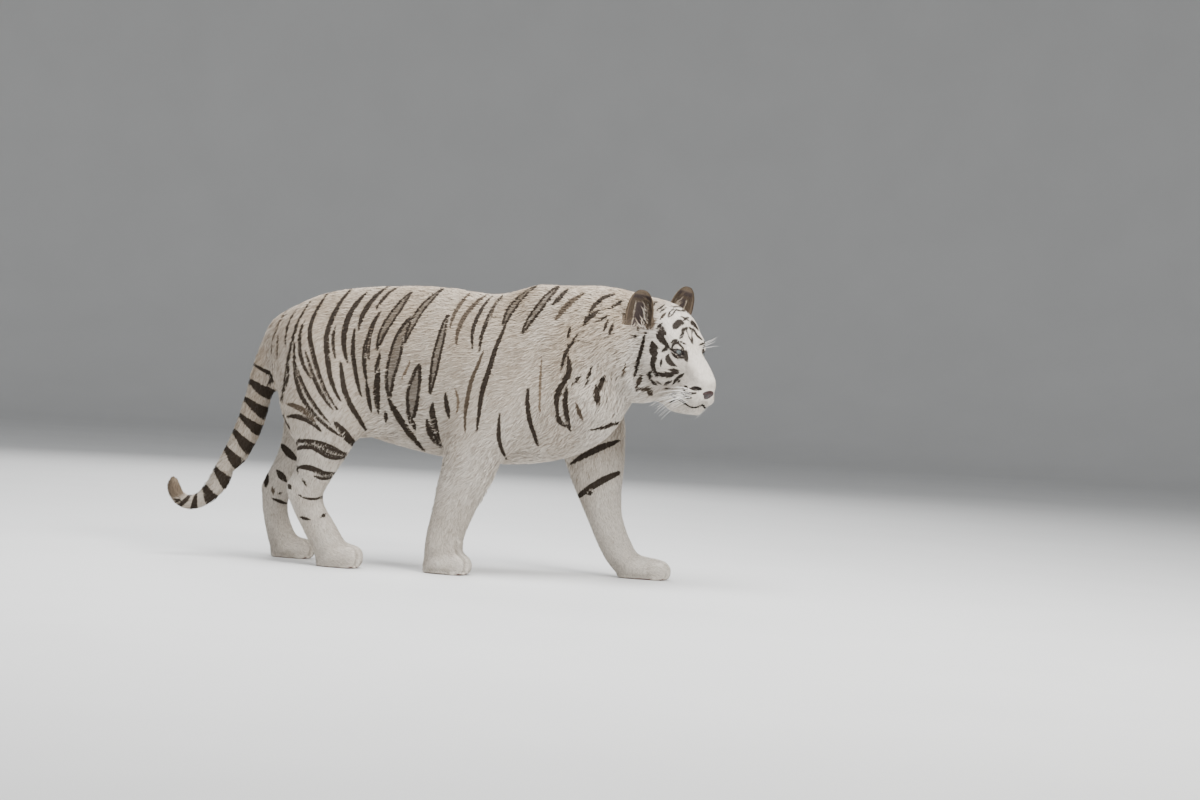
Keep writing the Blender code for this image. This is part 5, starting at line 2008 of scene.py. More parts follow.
@dataclass
class Coat:
    """Mesh tufts over the skin: straight points where it is short, bent locks where it is long."""

    skin: Skin
    budget: int = 1_400_000  # triangles
    short_cover: float = 1.9  # layers of short tufts over one another
    long_cover: float = 3.0
    bent_from: float = 0.030  # the length from which a tuft is a bent lock
    patch: float = 0.003  # a tuft's size on the unwrap
    sunk: float = 0.0009
    wander: float = math.radians(13)
    least_width: float = 0.0009
    slimness: float = 0.085  # a tuft's width over its length, past the least width
    stray: float = 0.0010  # how far a tuft reads its marking from its own place
    ear_cover: float = 2.6e5  # short tufts a square metre
    seed: int = 2024

    def width(self, length: Array) -> Array:
        """A tuft's width at its root, from its length."""
        return self.least_width + self.slimness * length

    def faces(self) -> tuple[Array, Array, Array]:
        """The skin's triangles.

        Returns:
            Their corner numbers, middles and areas.
        """
        mesh = self.skin.obj.data
        mesh.calc_loop_triangles()
        corners = np.empty(len(mesh.loop_triangles) * 3, np.int32)
        mesh.loop_triangles.foreach_get("vertices", corners)
        corners = corners.reshape(-1, 3)
        places = mesh_points(mesh)[corners]
        cross = np.cross(places[:, 1] - places[:, 0], places[:, 2] - places[:, 0])
        return corners, places.mean(1), 0.5 * np.linalg.norm(cross, axis=1)

    def regions(self, middles: Array) -> list[tuple[Region, Side | None, Array]]:
        """Splits the skin's faces among the coat's pieces.

        Args:
            middles: the faces' middles.

        Returns:
            Region, side and truth values for each piece.
        """
        nodes = self.skin.flesh.nodes
        owners = self.skin.flesh.owners(middles)
        on_ear = np.max([ear.zones(middles)[0] for ear in EARS.values()], 0) > 0.5
        local_y = HEAD.inward(middles)[:, 1]
        made = [(Region.EARS, None, on_ear)]
        for region in Region:
            names, _ = region.value
            if not names:
                continue
            for side in (None,) if region is Region.TAIL else tuple(Side):
                if region in (Region.FORELEG, Region.HINDLEG):
                    chosen = np.isin(owners, [nodes.index(f"{name}_{side.word}") for name in names])
                else:
                    chosen = np.isin(owners, [nodes.index(name) for name in names])
                    across = local_y if region is Region.HEAD else middles[:, 1]
                    if side is not None:
                        chosen &= (across * side.value) > 0
                made.append((region, side, chosen & ~on_ear))
        return made

    def bare(self, points: Array, normals: Array) -> Array:
        """Where no tuft grows: eye openings, nose leather, lip line and soles.

        Args:
            points: places on the skin.
            normals: the skin's normals there.

        Returns:
            Truth values.
        """
        bald = (points[:, 2] < 0.012) & (normals[:, 2] < -0.4)
        for eye in EYE_FRAMES.values():
            local = eye.inward(points)
            bald |= (OPENING.share(local) < 1.13) & (np.linalg.norm(local, axis=1) < 0.026)
        local = HEAD.inward(points)
        nose = (local - NoseLeather.middle) / (0.0225, 0.0305, 0.0235)
        bald |= (np.linalg.norm(nose, axis=1) < 1.12) & (local[:, 0] > -0.012)
        return bald | (lip_gap(local) < 0.0020)

    def combed(self, points: Array, normals: Array, lies: Array) -> Array:
        """Lie directions turned away from the eyes, with a soft wander.

        Args:
            points: places on the skin.
            normals: the skin's normals.
            lies: directions from the coat map.

        Returns:
            Directions along the skin, of length one.
        """
        for eye in EYE_FRAMES.values():
            local = eye.inward(points)
            reach = np.hypot(local[:, 0], local[:, 1])
            pull = 1.8 * np.exp(-((np.maximum(reach - 0.013, 0) / 0.011) ** 2)) * (np.abs(local[:, 2]) < 0.03)
            away = np.column_stack([local[:, :2] / np.maximum(reach, 1e-6)[:, None], np.zeros(len(points))])
            lies = lies + pull[:, None] * (away @ eye.axes.T)
        flat = unit(lies - (lies * normals).sum(1)[:, None] * normals)
        turn = self.wander * (soft_noise(points, 0.045, 11) + 0.6 * soft_noise(points, 0.016, 12))
        side = np.cross(normals, flat)
        return np.cos(turn)[:, None] * flat + np.sin(turn)[:, None] * side

    def sown(
        self, corners: Array, areas: Array, chosen: Array, cover: Array, draw: np.random.Generator
    ) -> Roots:
        """Spreads roots evenly over the chosen faces.

        Args:
            corners: corner numbers of the skin's faces.
            areas: their areas.
            chosen: which of them carry this piece.
            cover: tufts a square metre on each.
            draw: the piece's own random numbers.

        Returns:
            The roots.
        """
        mesh = self.skin.obj.data
        corners, share = corners[chosen], (areas * cover)[chosen]
        total = np.cumsum(share)
        count = int(total[-1])
        spots = (np.arange(count) + draw.uniform(0, 1, count)) * total[-1] / count
        face = np.minimum(np.searchsorted(total, spots), len(total) - 1)
        first, second = draw.uniform(0, 1, (2, count))
        folded = first + second > 1
        first, second = np.where(folded, 1 - first, first), np.where(folded, 1 - second, second)
        weights = np.stack([1 - first - second, first, second], 1)[:, :, None]
        at = (mesh_points(mesh)[corners[face]] * weights).sum(1)
        normal = unit((mesh_normals(mesh)[corners[face]] * weights).sum(1))
        grows = ~self.bare(at, normal)
        at, normal = at[grows], normal[grows]
        lie, length, stand = COAT_MAP.read(at)
        length = length * draw.uniform(0.78, 1.22, len(at))
        return Roots(at, normal, self.combed(at, normal, lie), length, stand)

    def tips(self, roots: Roots, draw: np.random.Generator) -> tuple[Array, Array, Array]:
        """Where the tufts end: over the skin that they lie along.

        Args:
            roots: the tufts' roots.
            draw: the piece's own random numbers.

        Returns:
            The tips, the way each tuft runs and the skin under its tip.
        """
        count = len(roots.at)
        turn = draw.normal(0, 0.13, count)
        side = np.cross(roots.normal, roots.lie)
        run = np.cos(turn)[:, None] * roots.lie + np.sin(turn)[:, None] * side
        ahead = roots.at + run * roots.length[:, None]
        height = roots.stand * draw.uniform(0.45, 1.0, count)
        under = np.empty((count, 3))
        ends = np.empty((count, 3))
        for row in range(count):
            place, normal, _, _ = self.skin.tree.find_nearest(Vector(ahead[row]))
            under[row] = place
            ends[row] = place + normal * height[row]
        reach = np.linalg.norm(ends - roots.at, axis=1)
        short = roots.length / np.maximum(reach, 1e-6)
        ends = roots.at + (ends - roots.at) * np.minimum(short, 1.0)[:, None]
        return ends, unit(ends - roots.at), under

    def grown(self, roots: Roots, bent: bool, draw: np.random.Generator) -> dict[str, Array]:
        """The tufts' points, faces and the numbers their finish reads.

        Args:
            roots: the tufts' roots.
            bent: makes bent locks of two lengths instead of straight points.
            draw: the piece's own random numbers.

        Returns:
            Rows named at, faces, normal, marking, strand and patch.
        """
        count = len(roots.at)
        tips, run, under = self.tips(roots, draw)
        side = unit(np.cross(roots.normal, run))
        width = self.width(roots.length)[:, None] * draw.uniform(0.8, 1.2, (count, 1))
        base = roots.at - roots.normal * self.sunk
        ring = ((-0.5, 0.0, -0.7), (0.5, 0.0, -0.7), (0.0, 0.42, 0.0))
        levels = [(base, 1.0, 0.0)]
        if bent:
            middle = 0.52 * tips + 0.48 * roots.at + roots.normal * (0.42 * roots.stand)[:, None]
            sway = draw.normal(0, 0.05, (count, 1)) * roots.length[:, None]
            levels.append((middle + side * sway, 0.72, 0.5))
        rows, tilts, alongs, acrosses = [], [], [], []
        for centre, scale, along in levels:
            for across, up, tilt in ring:
                rows.append(centre + side * across * scale * width + roots.normal * up * scale * width)
                tilts.append(unit(roots.normal + side * (-tilt if across > 0 else tilt) + run * 0.1))
                alongs.append(along)
                acrosses.append(across)
        rows.append(tips)
        tilts.append(unit(roots.normal + run * 0.25))
        alongs.append(1.0)
        acrosses.append(0.0)
        shape = LOCK_FACES if bent else POINT_FACES
        size = len(rows)
        at = np.stack(rows, 1)
        loose = draw.normal(0, self.stray, (count, 3))
        middles = 0.45 * roots.at + 0.55 * under
        ends, core = MARKINGS.channels(middles, [roots.at + loose, under + loose])
        along = np.array(alongs)[None, :, None]
        marking = ends[0][:, None] * (1 - along) + ends[1][:, None] * along
        chance = np.repeat(draw.uniform(0, 1, (count, 1)), size, 1)
        run_share = np.broadcast_to(along[:, :, 0], (count, size))
        strand = np.stack([run_share, chance, np.repeat(core[:, None], size, 1), chance * 0 + 1], 2)
        patch = np.stack([np.array(alongs), np.array(acrosses)], 1)
        patch = np.broadcast_to(patch[None] * (0.9 * self.patch, 0.7 * self.patch), (count, size, 2))
        faces = np.array(shape)[None] + (np.arange(count) * size)[:, None, None]
        at[:, :, 2] = np.maximum(at[:, :, 2], 0.0006)
        return {
            "at": at.reshape(-1, 3),
            "faces": faces.reshape(-1, 3),
            "normal": np.stack(tilts, 1).reshape(-1, 3),
            "marking": marking.reshape(-1, 4),
            "strand": strand.reshape(-1, 4),
            "patch": patch.reshape(-1, 2),
            "root": np.repeat(roots.at, size, 0),
        }

    def unwrap(self, points: Array, region: Region, side: Side | None) -> Array:
        """Places on the piece's own unwrap: along its middle line, and round it.

        Args:
            points: places on the skin.
            region: the coat's region.
            side: its side, where it has one.

        Returns:
            U and V from 0 to 1.
        """
        if region is Region.EARS:
            flat = []
            for side_of, ear in EARS.items():
                local = ear.local(points)
                left_half = 0.0 if side_of is Side.RIGHT else 0.5
                hollow = ear.zones(points)[2]
                wide = left_half + 0.13 + local[:, 1] * 1.6 + 0.22 * (hollow < 0.5)
                flat.append(np.column_stack([wide, 0.1 + local[:, 2] * 4.5]))
            nearer = HEAD.inward(points)[:, 1] > 0
            return np.where(nearer[:, None], flat[1], flat[0])
        if region is Region.HEAD:
            local = HEAD.inward(points)
            round_it = np.arctan2(side.value * local[:, 1], local[:, 2] - 0.03) / math.pi
            return np.column_stack([(local[:, 0] + 0.42) / 0.50, round_it])
        line = region.value[1] or LEG_LINES[region, side]
        line = catmull_rom(np.array(line, float), 16)
        run = np.concatenate([[0.0], np.cumsum(np.linalg.norm(np.diff(line, axis=0), axis=1))])
        nearest = np.concatenate(
            [((part[:, None] - line[None]) ** 2).sum(2).argmin(1) for part in np.array_split(points, 24)]
        )
        heading = unit(np.gradient(line, axis=0))[nearest]
        off = points - line[nearest]
        along = run[nearest] + (off * heading).sum(1)
        if region in (Region.FORELEG, Region.HINDLEG, Region.TAIL):
            ahead = unit(np.cross((0.0, 1.0, 0.0), heading))
            round_it = 0.5 + np.arctan2(off[:, 1], (off * ahead).sum(1)) / (2 * math.pi)
        else:
            round_it = np.arctan2(side.value * off[:, 1], off[:, 2]) / math.pi
        return np.column_stack([along / run[-1], round_it])

    def piece(
        self, name: str, parts: list[dict[str, Array]], region: Region, side: Side | None
    ) -> bpy.types.Object:
        """Joins grown tufts into one piece.

        Args:
            name: the piece's name.
            parts: what grown() returned.
            region: the coat's region.
            side: its side, where it has one.

        Returns:
            The piece's object, at the origin.
        """
        starts = np.cumsum([0] + [len(part["at"]) for part in parts])
        at = np.vstack([part["at"] for part in parts])
        faces = np.vstack([part["faces"] + start for part, start in zip(parts, starts)])
        mesh = mesh_from_rows(name, at, faces)
        for layer in ("marking", "strand"):
            put_colour(mesh, layer, np.vstack([part[layer] for part in parts]))
        flat = self.unwrap(np.vstack([part["root"] for part in parts]), region, side)
        flat = 0.01 + 0.975 * np.clip(flat, 0, 1) + np.vstack([part["patch"] for part in parts])
        corners = faces.ravel()
        layer = mesh.uv_layers.new(name="OFBake")
        layer.data.foreach_set("uv", np.ascontiguousarray(flat[corners], np.float32).ravel())
        normals = np.vstack([part["normal"] for part in parts])
        mesh.normals_split_custom_set_from_vertices(normals.tolist())
        return new_object(name, mesh)

    def ear_roots(
        self, corners: Array, areas: Array, chosen: Array, draw: np.random.Generator
    ) -> list[Roots]:
        """Short tufts over the ears' backs and rims, and long ones across their hollows.

        Args:
            corners: corner numbers of the skin's faces.
            areas: their areas.
            chosen: the ears' faces.
            draw: the piece's own random numbers.

        Returns:
            Roots of the short tufts and of the long ones.
        """
        short = self.sown(corners, areas, chosen, np.full(len(areas), self.ear_cover), draw)
        grown = []
        for ear in EARS.values():
            belongs, rim, hollow = ear.zones(short.at)
            axes = np.array(ear.place)[:3, :3]
            seat = ear.across(short.at)
            up = axes[:, 2] + 0.5 * seat[:, :1] * axes[:, 1]
            outside = (belongs > 0.5) & (hollow < 0.5)
            lie = up - (up * short.normal).sum(1)[:, None] * short.normal
            number = outside.sum()
            length = np.full(number, 0.0085) * draw.uniform(0.7, 1.3, number)
            lie = unit(lie + 1e-9)[outside]
            grown.append(short.relaid(outside, lie, length, np.full(number, 0.0018)))
            inside = (belongs > 0.5) & (hollow >= 0.5) & (seat[:, 1] < 0.78)
            border = ear.margin(seat) > 0.52
            near_front = (seat[:, 0] * ear.side.value < -0.30) | (seat[:, 1] < 0.16)
            keep = inside & near_front & (draw.uniform(0, 1, len(inside)) < 0.08)
            grown.append(self.ear_border(short, inside & border & ~keep, axes, seat, draw))
            inward = -np.sign(seat[:, :1]) * 0.55 * axes[:, 1]
            stray = draw.normal(0, 0.22, (len(inside), 3))
            lie = 0.75 * axes[:, 2] + inward + 0.55 * axes[:, 0] + stray
            number = keep.sum()
            length = draw.uniform(0.020, 0.040, number)
            grown.append(short.relaid(keep, unit(lie)[keep], length, np.full(number, 0.012)))
        return grown

    @staticmethod
    def ear_border(
        short: Roots, chosen: Array, axes: Array, seat: Array, draw: np.random.Generator
    ) -> Roots:
        """The short fur of the band inside the ear's rim.

        Args:
            short: roots over the whole ear.
            chosen: which of them stand in the band.
            axes: the ear's directions as columns.
            seat: place across the ear and up it.
            draw: the piece's own random numbers.

        Returns:
            The band's roots.
        """
        number = chosen.sum()
        lie = axes[:, 2] - 0.5 * np.sign(seat[chosen][:, :1]) * axes[:, 1] + draw.normal(0, 0.15, (number, 3))
        length = draw.uniform(0.008, 0.013, number)
        return short.relaid(chosen, unit(lie), length, np.full(number, 0.0022))

    def build(self) -> list[tuple[bpy.types.Object, Region]]:
        """Makes every piece of the coat.

        Returns:
            The pieces with their regions.
        """
        corners, middles, areas = self.faces()
        _, lengths, _ = COAT_MAP.read(middles)
        layers = self.short_cover + (self.long_cover - self.short_cover) * smooth_step(0.026, 0.036, lengths)
        cover = layers / (0.5 * lengths * self.width(lengths))
        cost = np.where(lengths > self.bent_from, len(LOCK_FACES), len(POINT_FACES))
        wanted = (areas * cover * cost).sum()
        cover *= min(1.0, self.budget / wanted)
        LOG.info("coat: %.2f million triangles wanted, skin %.2f square metres", wanted / 1e6, areas.sum())
        made = []
        for number, (region, side, chosen) in enumerate(self.regions(middles)):
            draw = np.random.default_rng(self.seed + number)
            name = "_".join(["coat", region.name.lower()] + ([side.word] if side else []))
            if region is Region.EARS:
                roots = self.ear_roots(corners, areas, chosen, draw)
                parts = [self.grown(some, some.length.mean() > 0.02, draw) for some in roots]
            else:
                roots = self.sown(corners, areas, chosen, cover, draw)
                bent = roots.length > self.bent_from
                parts = []
                for shape in (False, True):
                    some = bent == shape
                    if some.any():
                        parts.append(self.grown(roots.picked(some), shape, draw))
            obj = self.piece(name, parts, region, side)
            LOG.info("%s: %d triangles", name, len(obj.data.polygons))
            made.append((obj, region))
        return made


# ---------------------------------------------------------------------------------------------------
# Finishes


class Graph:
    """A material and a short way to add nodes to it."""

    def __init__(self, name: str) -> None:
        """Starts an empty material.

        Args:
            name: the finish's name.
        """
        self.material = bpy.data.materials.new(name)
        self.material.use_nodes = True
        self.tree = self.material.node_tree
        self.tree.nodes.clear()

    def add(self, kind: str, sockets: dict | None = None, **settings: object) -> bpy.types.Node:
        """Adds a node.

        Args:
            kind: the node's type, without its ShaderNode prefix.
            sockets: what goes into its sockets: a number, a colour or another node's output.
            settings: its own settings.

        Returns:
            The node.
        """
        made = self.tree.nodes.new("ShaderNode" + kind)
        for name, value in settings.items():
            setattr(made, name, value)
        for name, value in (sockets or {}).items():
            if isinstance(value, bpy.types.NodeSocket):
                self.tree.links.new(value, made.inputs[name])
            else:
                made.inputs[name].default_value = value
        return made

    def mix(self, share: object, first: object, second: object, blend: str = "MIX") -> bpy.types.NodeSocket:
        """A mix of two colours.

        Args:
            share: how much of the second shows, a number or an output.
            first: a colour or an output.
            second: a colour or an output.
            blend: how they mix.

        Returns:
            The mixed colour's output.
        """
        made = self.add("Mix", data_type="RGBA", blend_type=blend)
        for index, value in ((0, share), (6, first), (7, second)):
            if isinstance(value, bpy.types.NodeSocket):
                self.tree.links.new(value, made.inputs[index])
            else:
                made.inputs[index].default_value = value
        return made.outputs[2]

    def math(self, operation: str, *values: object, clamp: bool = False) -> bpy.types.NodeSocket:
        """A calculation on numbers."""
        return self.add("Math", dict(enumerate(values)), operation=operation, use_clamp=clamp).outputs[0]

    def ramp(
        self, value: object, low: float, high: float, to_low: float = 0.0, to_high: float = 1.0
    ) -> bpy.types.NodeSocket:
        """A soft step from one number to another."""
        sockets = {"Value": value, "From Min": low, "From Max": high, "To Min": to_low, "To Max": to_high}
        return self.add("MapRange", sockets, interpolation_type="SMOOTHSTEP").outputs["Result"]

    def noise(
        self, scale: float, detail: float = 2.0, stretch: tuple[float, float, float] = (1, 1, 1)
    ) -> bpy.types.NodeSocket:
        """A noise in the object's own space.

        Args:
            scale: its fineness.
            detail: its layers.
            stretch: scale along each axis.

        Returns:
            Its output, from 0 to 1.
        """
        place = self.add("TexCoord").outputs["Object"]
        place = self.add("Mapping", {"Vector": place, "Scale": stretch}).outputs["Vector"]
        sockets = {"Vector": place, "Scale": scale, "Detail": detail}
        return self.add("TexNoise", sockets).outputs["Fac"]

    def stored(self, name: str) -> dict[str, bpy.types.NodeSocket]:
        """The four numbers that a mesh stores under a name.

        Args:
            name: the name.

        Returns:
            Their outputs, named Red, Green, Blue and Alpha.
        """
        source = self.add("Attribute", attribute_type="GEOMETRY", attribute_name=name)
        parts = self.add("SeparateColor", {"Color": source.outputs["Color"]})
        outputs = {key: parts.outputs[key] for key in ("Red", "Green", "Blue")}
        return outputs | {"Alpha": source.outputs["Alpha"]}

    def finish(self, sockets: dict, normal: object = None) -> bpy.types.Material:
        """Ends the tree in a surface shader.

        Args:
            sockets: what goes into the shader.
            normal: an output for its normal, or none.

        Returns:
            The material.
        """
        shader = self.add("BsdfPrincipled", sockets)
        if normal is not None:
            self.tree.links.new(normal, shader.inputs["Normal"])
        self.add("OutputMaterial", {"Surface": shader.outputs[0]})
        return self.material


Colour = tuple[float, float, float, float]


@dataclass(frozen=True)
class FurFinish:
    """The coat's pale ground and its inks, on tufts or on the bare skin under them."""

    name: str = "tiger coat"
    cream: Colour = (0.70, 0.650, 0.580, 1)
    warm: Colour = (0.40, 0.320, 0.235, 1)
    black: Colour = (0.008, 0.006, 0.0055, 1)
    brown: Colour = (0.195, 0.148, 0.105, 1)
    streak: Colour = (0.33, 0.28, 0.24, 1)
    roughness: float = 0.66

    def ground(self, graph: Graph, chance: object, core: object) -> object:
        """The coat's colour from the markings that each point carries.

        Args:
            graph: the material being made.
            chance: an output that differs from tuft to tuft.
            core: an output, half the width of a stripe's pale core.

        Returns:
            The colour's output.
        """
        marking = graph.stored("marking")
        off = graph.math("ABSOLUTE", marking["Red"])
        inside = graph.math("SUBTRACT", marking["Green"], off)
        ring = graph.math("SUBTRACT", off, core)
        inside = graph.math("MINIMUM", inside, ring)
        ragged = graph.math("MULTIPLY_ADD", graph.noise(210.0), 0.16, inside)
        ragged = graph.math("MULTIPLY_ADD", chance, 0.07, ragged)
        whole = graph.ramp(graph.math("SUBTRACT", marking["Green"], off), 0.0, 0.12, 0.0, 0.60)
        dark = graph.math("MAXIMUM", graph.ramp(ragged, 0.04, 0.15), whole)
        tone = graph.math("MULTIPLY_ADD", chance, 0.10, marking["Alpha"])
        warmth = graph.math("MULTIPLY_ADD", graph.noise(60.0, 3.0), 0.30, marking["Blue"])
        warmth = graph.math("SUBTRACT", warmth, 0.15, clamp=True)
        pale = graph.mix(warmth, self.cream, self.warm)
        ink = graph.mix(tone, self.black, self.brown)
        return graph.mix(dark, pale, ink)

    def on_tufts(self) -> bpy.types.Material:
        """The finish of the coat's pieces, with painted shade towards each tuft's root.

        Returns:
            The material.
        """
        graph = Graph(self.name)
        strand = graph.stored("strand")
        colour = self.ground(graph, strand["Green"], strand["Blue"])
        # Painted shade: each tuft darkens towards its root, standing in for the shade deep in the coat.
        root = graph.ramp(strand["Red"], 0.0, 0.7, 0.30, 0.0)
        colour = graph.mix(root, colour, (0.30, 0.24, 0.20, 1), "MULTIPLY")
        shade = graph.ramp(strand["Green"], 0.25, 1.0, 0.0, 0.62)
        colour = graph.mix(shade, colour, self.streak, "MULTIPLY")
        return graph.finish({"Base Color": colour, "Roughness": self.roughness, "Specular IOR Level": 0.10})

    def on_skin(self) -> bpy.types.Material:
        """The finish of the skin under the coat, with its bare places and painted shade in the ear hollows.

        Returns:
            The material.
        """
        graph = Graph("tiger skin")
        bare = graph.stored("bare")
        colour = self.ground(graph, 0.5, bare["Alpha"])
        streaks = graph.noise(420.0, 3.0, (0.35, 1.0, 0.6))
        streaked = graph.ramp(streaks, 0.35, 0.75, 0.0, 0.35)
        colour = graph.mix(streaked, colour, (0.55, 0.48, 0.42, 1), "MULTIPLY")
        blots = graph.noise(150.0, 3.0)
        # The ear hollow's bare skin: its own brown, painted near-black as the shade deep in the hollow.
        hollow = graph.mix(blots, (0.022, 0.015, 0.014, 1), (0.075, 0.052, 0.046, 1))
        colour = graph.mix(bare["Green"], colour, hollow)
        pad = graph.mix(blots, (0.10, 0.060, 0.055, 1), (0.25, 0.150, 0.135, 1))
        colour = graph.mix(bare["Blue"], colour, pad)
        colour = graph.mix(bare["Red"], colour, (0.014, 0.010, 0.010, 1))
        height = graph.math("ADD", streaks, graph.math("MULTIPLY", blots, 0.5))
        bump = graph.add("Bump", {"Height": height, "Strength": 0.35, "Distance": 0.0015})
        rough = graph.math("MULTIPLY_ADD", bare["Red"], -0.30, 0.70)
        sockets = {"Base Color": colour, "Roughness": rough, "Specular IOR Level": 0.3}
        return graph.finish(sockets, bump.outputs["Normal"])


@dataclass(frozen=True)
class IrisFinish:
    """A wet eye: grey-blue iris with fine spokes, small round pupil and dark rim."""

    pupil: float = 0.165  # radii over that of the eyeball
    iris: float = 0.50
    inner: Colour = (0.085, 0.105, 0.100, 1)
    outer: Colour = (0.035, 0.052, 0.060, 1)
    white: Colour = (0.20, 0.16, 0.14, 1)

    def material(self) -> bpy.types.Material:
        """The eye's finish.

        Returns:
            The material.
        """
        graph = Graph("tiger eye")
        gaze = graph.stored("gaze")
        off = gaze["Red"]
        spoke_place = graph.add(
            "CombineXYZ",
            {
                "X": graph.math("MULTIPLY", off, 1.4),
                "Y": graph.math("MULTIPLY", gaze["Green"], 13.0),
                "Z": graph.math("MULTIPLY", gaze["Blue"], 13.0),
            },
        )
        spokes = graph.add("TexNoise", {"Vector": spoke_place.outputs[0], "Scale": 2.2, "Detail": 3.0})
        colour = graph.mix(graph.ramp(off, self.pupil, self.iris), self.inner, self.outer)
        streak = graph.ramp(spokes.outputs["Fac"], 0.35, 0.70, 0.0, 0.55)
        colour = graph.mix(streak, colour, (0.33, 0.37, 0.35, 1))
        rim = graph.ramp(off, self.iris - 0.085, self.iris - 0.01)
        colour = graph.mix(rim, colour, (0.015, 0.013, 0.013, 1))
        colour = graph.mix(graph.ramp(off, self.iris + 0.02, self.iris + 0.12), colour, self.white)
        pupil = graph.ramp(off, self.pupil, self.pupil + 0.03, 1.0, 0.0)
        colour = graph.mix(pupil, colour, (0.004, 0.004, 0.004, 1))
        sockets = {"Base Color": colour, "Roughness": 0.16, "Coat Weight": 1.0, "Coat Roughness": 0.03}
        return graph.finish(sockets)


@dataclass(frozen=True)
class LeatherFinish:
    """The nose's pebbled skin: dusky pink, with painted shade: black in the nostrils, dark in their slits and
    in the cracks between pebbles.
    """

    pink: Colour = (0.058, 0.026, 0.024, 1)
    dusk: Colour = (0.014, 0.009, 0.009, 1)

    def material(self) -> bpy.types.Material:
        """The nose's finish.

        Returns:
            The material.
        """
        graph = Graph("nose leather")
        dent = graph.stored("dent")
        place = graph.add("TexCoord").outputs["Object"]
        pebbles = graph.add("TexVoronoi", {"Vector": place, "Scale": 620.0})
        blots = graph.noise(120.0, 3.0)
        colour = graph.mix(graph.ramp(blots, 0.35, 0.70), self.pink, self.dusk)
        # Painted shade in the sunken cracks between the pebbles.
        crack_shade = graph.ramp(pebbles.outputs["Distance"], 0.25, 0.75, 0.0, 0.45)
        colour = graph.mix(crack_shade, colour, (0.25, 0.18, 0.18, 1), "MULTIPLY")
        # Painted shade: the nostrils near-black and their slits dark.
        colour = graph.mix(dent["Red"], colour, (0.006, 0.004, 0.004, 1))
        bump = graph.add(
            "Bump", {"Height": pebbles.outputs["Distance"], "Strength": 0.5, "Distance": 0.0006}
        )
        bump.invert = True
        sockets = {"Base Color": colour, "Roughness": 0.42, "Specular IOR Level": 0.5}
        return graph.finish(sockets, bump.outputs["Normal"])


def whisker_finish() -> bpy.types.Material:
    """Pale, slightly glossy whiskers.

    Returns:
        The material.
    """
    graph = Graph("whisker")
    tint = graph.mix(graph.noise(35.0), (0.90, 0.88, 0.84, 1), (0.74, 0.70, 0.65, 1))
    return graph.finish({"Base Color": tint, "Roughness": 0.38})


# ---------------------------------------------------------------------------------------------------
# The studio


@dataclass(frozen=True)
class Lamp:
    """A soft square light that looks at the animal."""

    name: str
    at: tuple[float, float, float]
    size: float
    power: float
    colour: tuple[float, float, float] = (1.0, 1.0, 1.0)


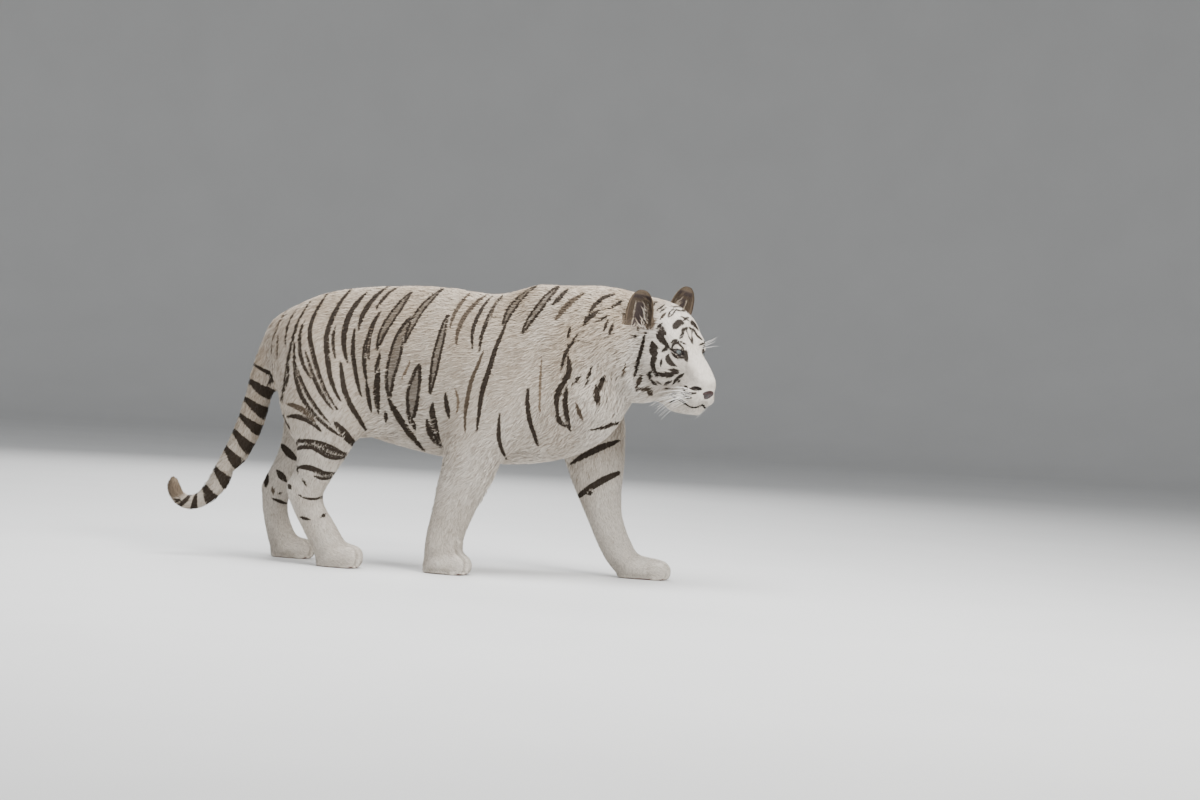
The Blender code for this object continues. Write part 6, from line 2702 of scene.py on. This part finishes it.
@dataclass
class Studio:
    """Pale floor that curves up far away, soft lights and the camera."""

    flat: float = 13.0
    cove: float = 4.0
    wall: float = 9.0
    look_at: tuple[float, float, float] = (0.0, 0.0, 0.55)
    eye: tuple[float, float, float] = (0.532, -8.991, 0.75)
    pitch: float = math.radians(0.894)
    roll: float = math.radians(3.5)
    focal: float = 79.41
    around: int = 96  # steps of the floor's rings
    glow: float = 0.30
    glow_colour: tuple[float, float, float, float] = (0.93, 0.96, 1.0, 1)
    lamps: tuple[Lamp, ...] = (
        Lamp("sky", (0.2, -0.9, 5.2), 4.0, 700.0, (0.98, 0.99, 1.0)),
        Lamp("key", (3.6, -4.2, 4.4), 1.6, 420.0, (1.0, 0.985, 0.95)),
        Lamp("fill", (-4.8, -4.6, 2.4), 3.5, 80.0),
        Lamp("back", (-1.0, 5.5, 3.6), 4.0, 260.0),
    )

    def floor(self) -> bpy.types.Object:
        """The floor and its far wall, turned from one profile.

        Returns:
            The floor's object.
        """
        bend = np.linspace(0, math.pi / 2, 13)
        profile = [(0.5, 0.0), (4.0, 0.0), (self.flat, 0.0)]
        profile += [
            (self.flat + self.cove * math.sin(angle), self.cove * (1 - math.cos(angle))) for angle in bend[1:]
        ]
        profile.append((self.flat + self.cove, self.wall))
        form = bmesh.new()
        turns = [2 * math.pi * step / self.around for step in range(self.around)]
        rings = [
            [form.verts.new((reach * math.cos(turn), reach * math.sin(turn), z)) for turn in turns]
            for reach, z in profile
        ]
        form.faces.new(rings[0])
        for low, high in zip(rings, rings[1:]):
            bridge(form, low, high)
        mesh = mesh_of(form, "studio_floor")
        shade_smooth(mesh)
        graph = Graph("pale floor")
        tint = graph.mix(graph.noise(1.6, 4.0), (0.60, 0.60, 0.595, 1), (0.66, 0.66, 0.655, 1))
        mesh.materials.append(graph.finish({"Base Color": tint, "Roughness": 0.75}))
        floor = new_object("studio_floor", mesh)
        return floor

    def lights(self) -> None:
        """Hangs the soft lights and sets the world's glow."""
        for lamp in self.lamps:
            light = bpy.data.lights.new(lamp.name, "AREA")
            light.size = lamp.size
            light.energy = lamp.power
            light.color = lamp.colour
            holder = bpy.data.objects.new(lamp.name, light)
            holder.location = lamp.at
            ahead = Vector(self.look_at) - Vector(lamp.at)
            holder.rotation_euler = ahead.to_track_quat("-Z", "Y").to_euler()
            bpy.context.scene.collection.objects.link(holder)
        world = bpy.data.worlds.new("studio")
        world.use_nodes = True
        glow = world.node_tree.nodes["Background"]
        glow.inputs["Color"].default_value = self.glow_colour
        glow.inputs["Strength"].default_value = self.glow
        bpy.context.scene.world = world

    def camera(self) -> bpy.types.Object:
        """The camera at the animal's right, a little turned.

        Returns:
            The camera's object.
        """
        lens = bpy.data.cameras.new("camera")
        lens.lens = self.focal
        lens.sensor_width = 36.0
        holder = bpy.data.objects.new("camera", lens)
        ahead = Vector((0.0, math.cos(self.pitch), -math.sin(self.pitch)))
        right = Vector((1.0, 0.0, 0.0))
        above = right.cross(ahead)
        turned = right * math.cos(self.roll) + above * math.sin(self.roll)
        upward = above * math.cos(self.roll) - right * math.sin(self.roll)
        axes = Matrix((turned, upward, -ahead)).transposed().to_4x4()
        holder.matrix_world = Matrix.Translation(self.eye) @ axes
        bpy.context.scene.collection.objects.link(holder)
        bpy.context.scene.camera = holder
        return holder

    def build(self) -> None:
        """Makes floor, lights and camera."""
        self.floor()
        self.lights()
        self.camera()


# ---------------------------------------------------------------------------------------------------
# Putting it together


def bare_places(points: Array, normals: Array) -> Array:
    """Where the skin shows: dark lid rims and lips, ear hollows and soles.

    Args:
        points: the skin's vertices.
        normals: its normals there.

    Returns:
        Rows of rim, hollow and sole.
    """
    rim = np.zeros(len(points))
    for eye in EYE_FRAMES.values():
        local = eye.inward(points)
        near = np.linalg.norm(local, axis=1) < 0.026
        rim = np.maximum(rim, near * smooth_step(1.75, 1.40, OPENING.share(local)))
    rim = np.maximum(rim, smooth_step(0.0042, 0.0022, lip_gap(HEAD.inward(points))))
    hollow = np.zeros(len(points))
    for ear in EARS.values():
        belongs, _, inside = ear.zones(points)
        hollow = np.maximum(hollow, belongs * inside)
    sole = smooth_step(-0.5, -0.8, normals[:, 2]) * smooth_step(0.014, 0.006, points[:, 2])
    return np.column_stack([rim, hollow, sole])


def settle(piece: bpy.types.Object, finish: bpy.types.Material, slot: str, *nodes: str) -> None:
    """Gives a piece its finish and its place in the model.

    Args:
        piece: the piece.
        finish: its material.
        slot: the name of a material slot; not used.
        nodes: the solids that it stands for.
    """
    piece.data.materials.clear()
    piece.data.materials.append(finish)
    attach(piece, "root")
    if nodes:
        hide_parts(*nodes)
    LOG.info("%s is in place, %d faces", piece.name, len(piece.data.polygons))


def main() -> None:
    """Builds the tiger and its studio."""
    logging.basicConfig(level=logging.INFO, format="%(name)s: %(message)s")
    skin = Skin(Flesh())
    hide = skin.build()
    MARKINGS.lay(skin.tree)
    points, normals = mesh_points(hide.data), mesh_normals(hide.data)
    (marking,), core = MARKINGS.channels(points, [points])
    marking[:, 0] = np.abs(marking[:, 0])
    put_colour(hide.data, "marking", marking)
    put_colour(hide.data, "bare", np.column_stack([bare_places(points, normals), core]))
    fur = FurFinish()
    settle(hide, fur.on_skin(), "coat", *FLESH_NODES)

    iris = IrisFinish().material()
    for side, eye_frame in EYE_FRAMES.items():
        settle(Eye(eye_frame).build(), iris, "iris", "eye_" + side.word)
    settle(NoseLeather().build(), LeatherFinish().material(), "nose_leather", "nose_pad")
    whiskers = Whiskers(skin.tree)
    pale = whisker_finish()
    settle(whiskers.build(pale), pale, "coat")

    coat_finish = fur.on_tufts()
    slots = {Region.EARS: "ear_coat", Region.TAIL: "tail_coat"}
    for piece, region in Coat(skin).build():
        settle(piece, coat_finish, slots.get(region, "coat"))
    Studio().build()


if __name__ == "__main__":
    main()
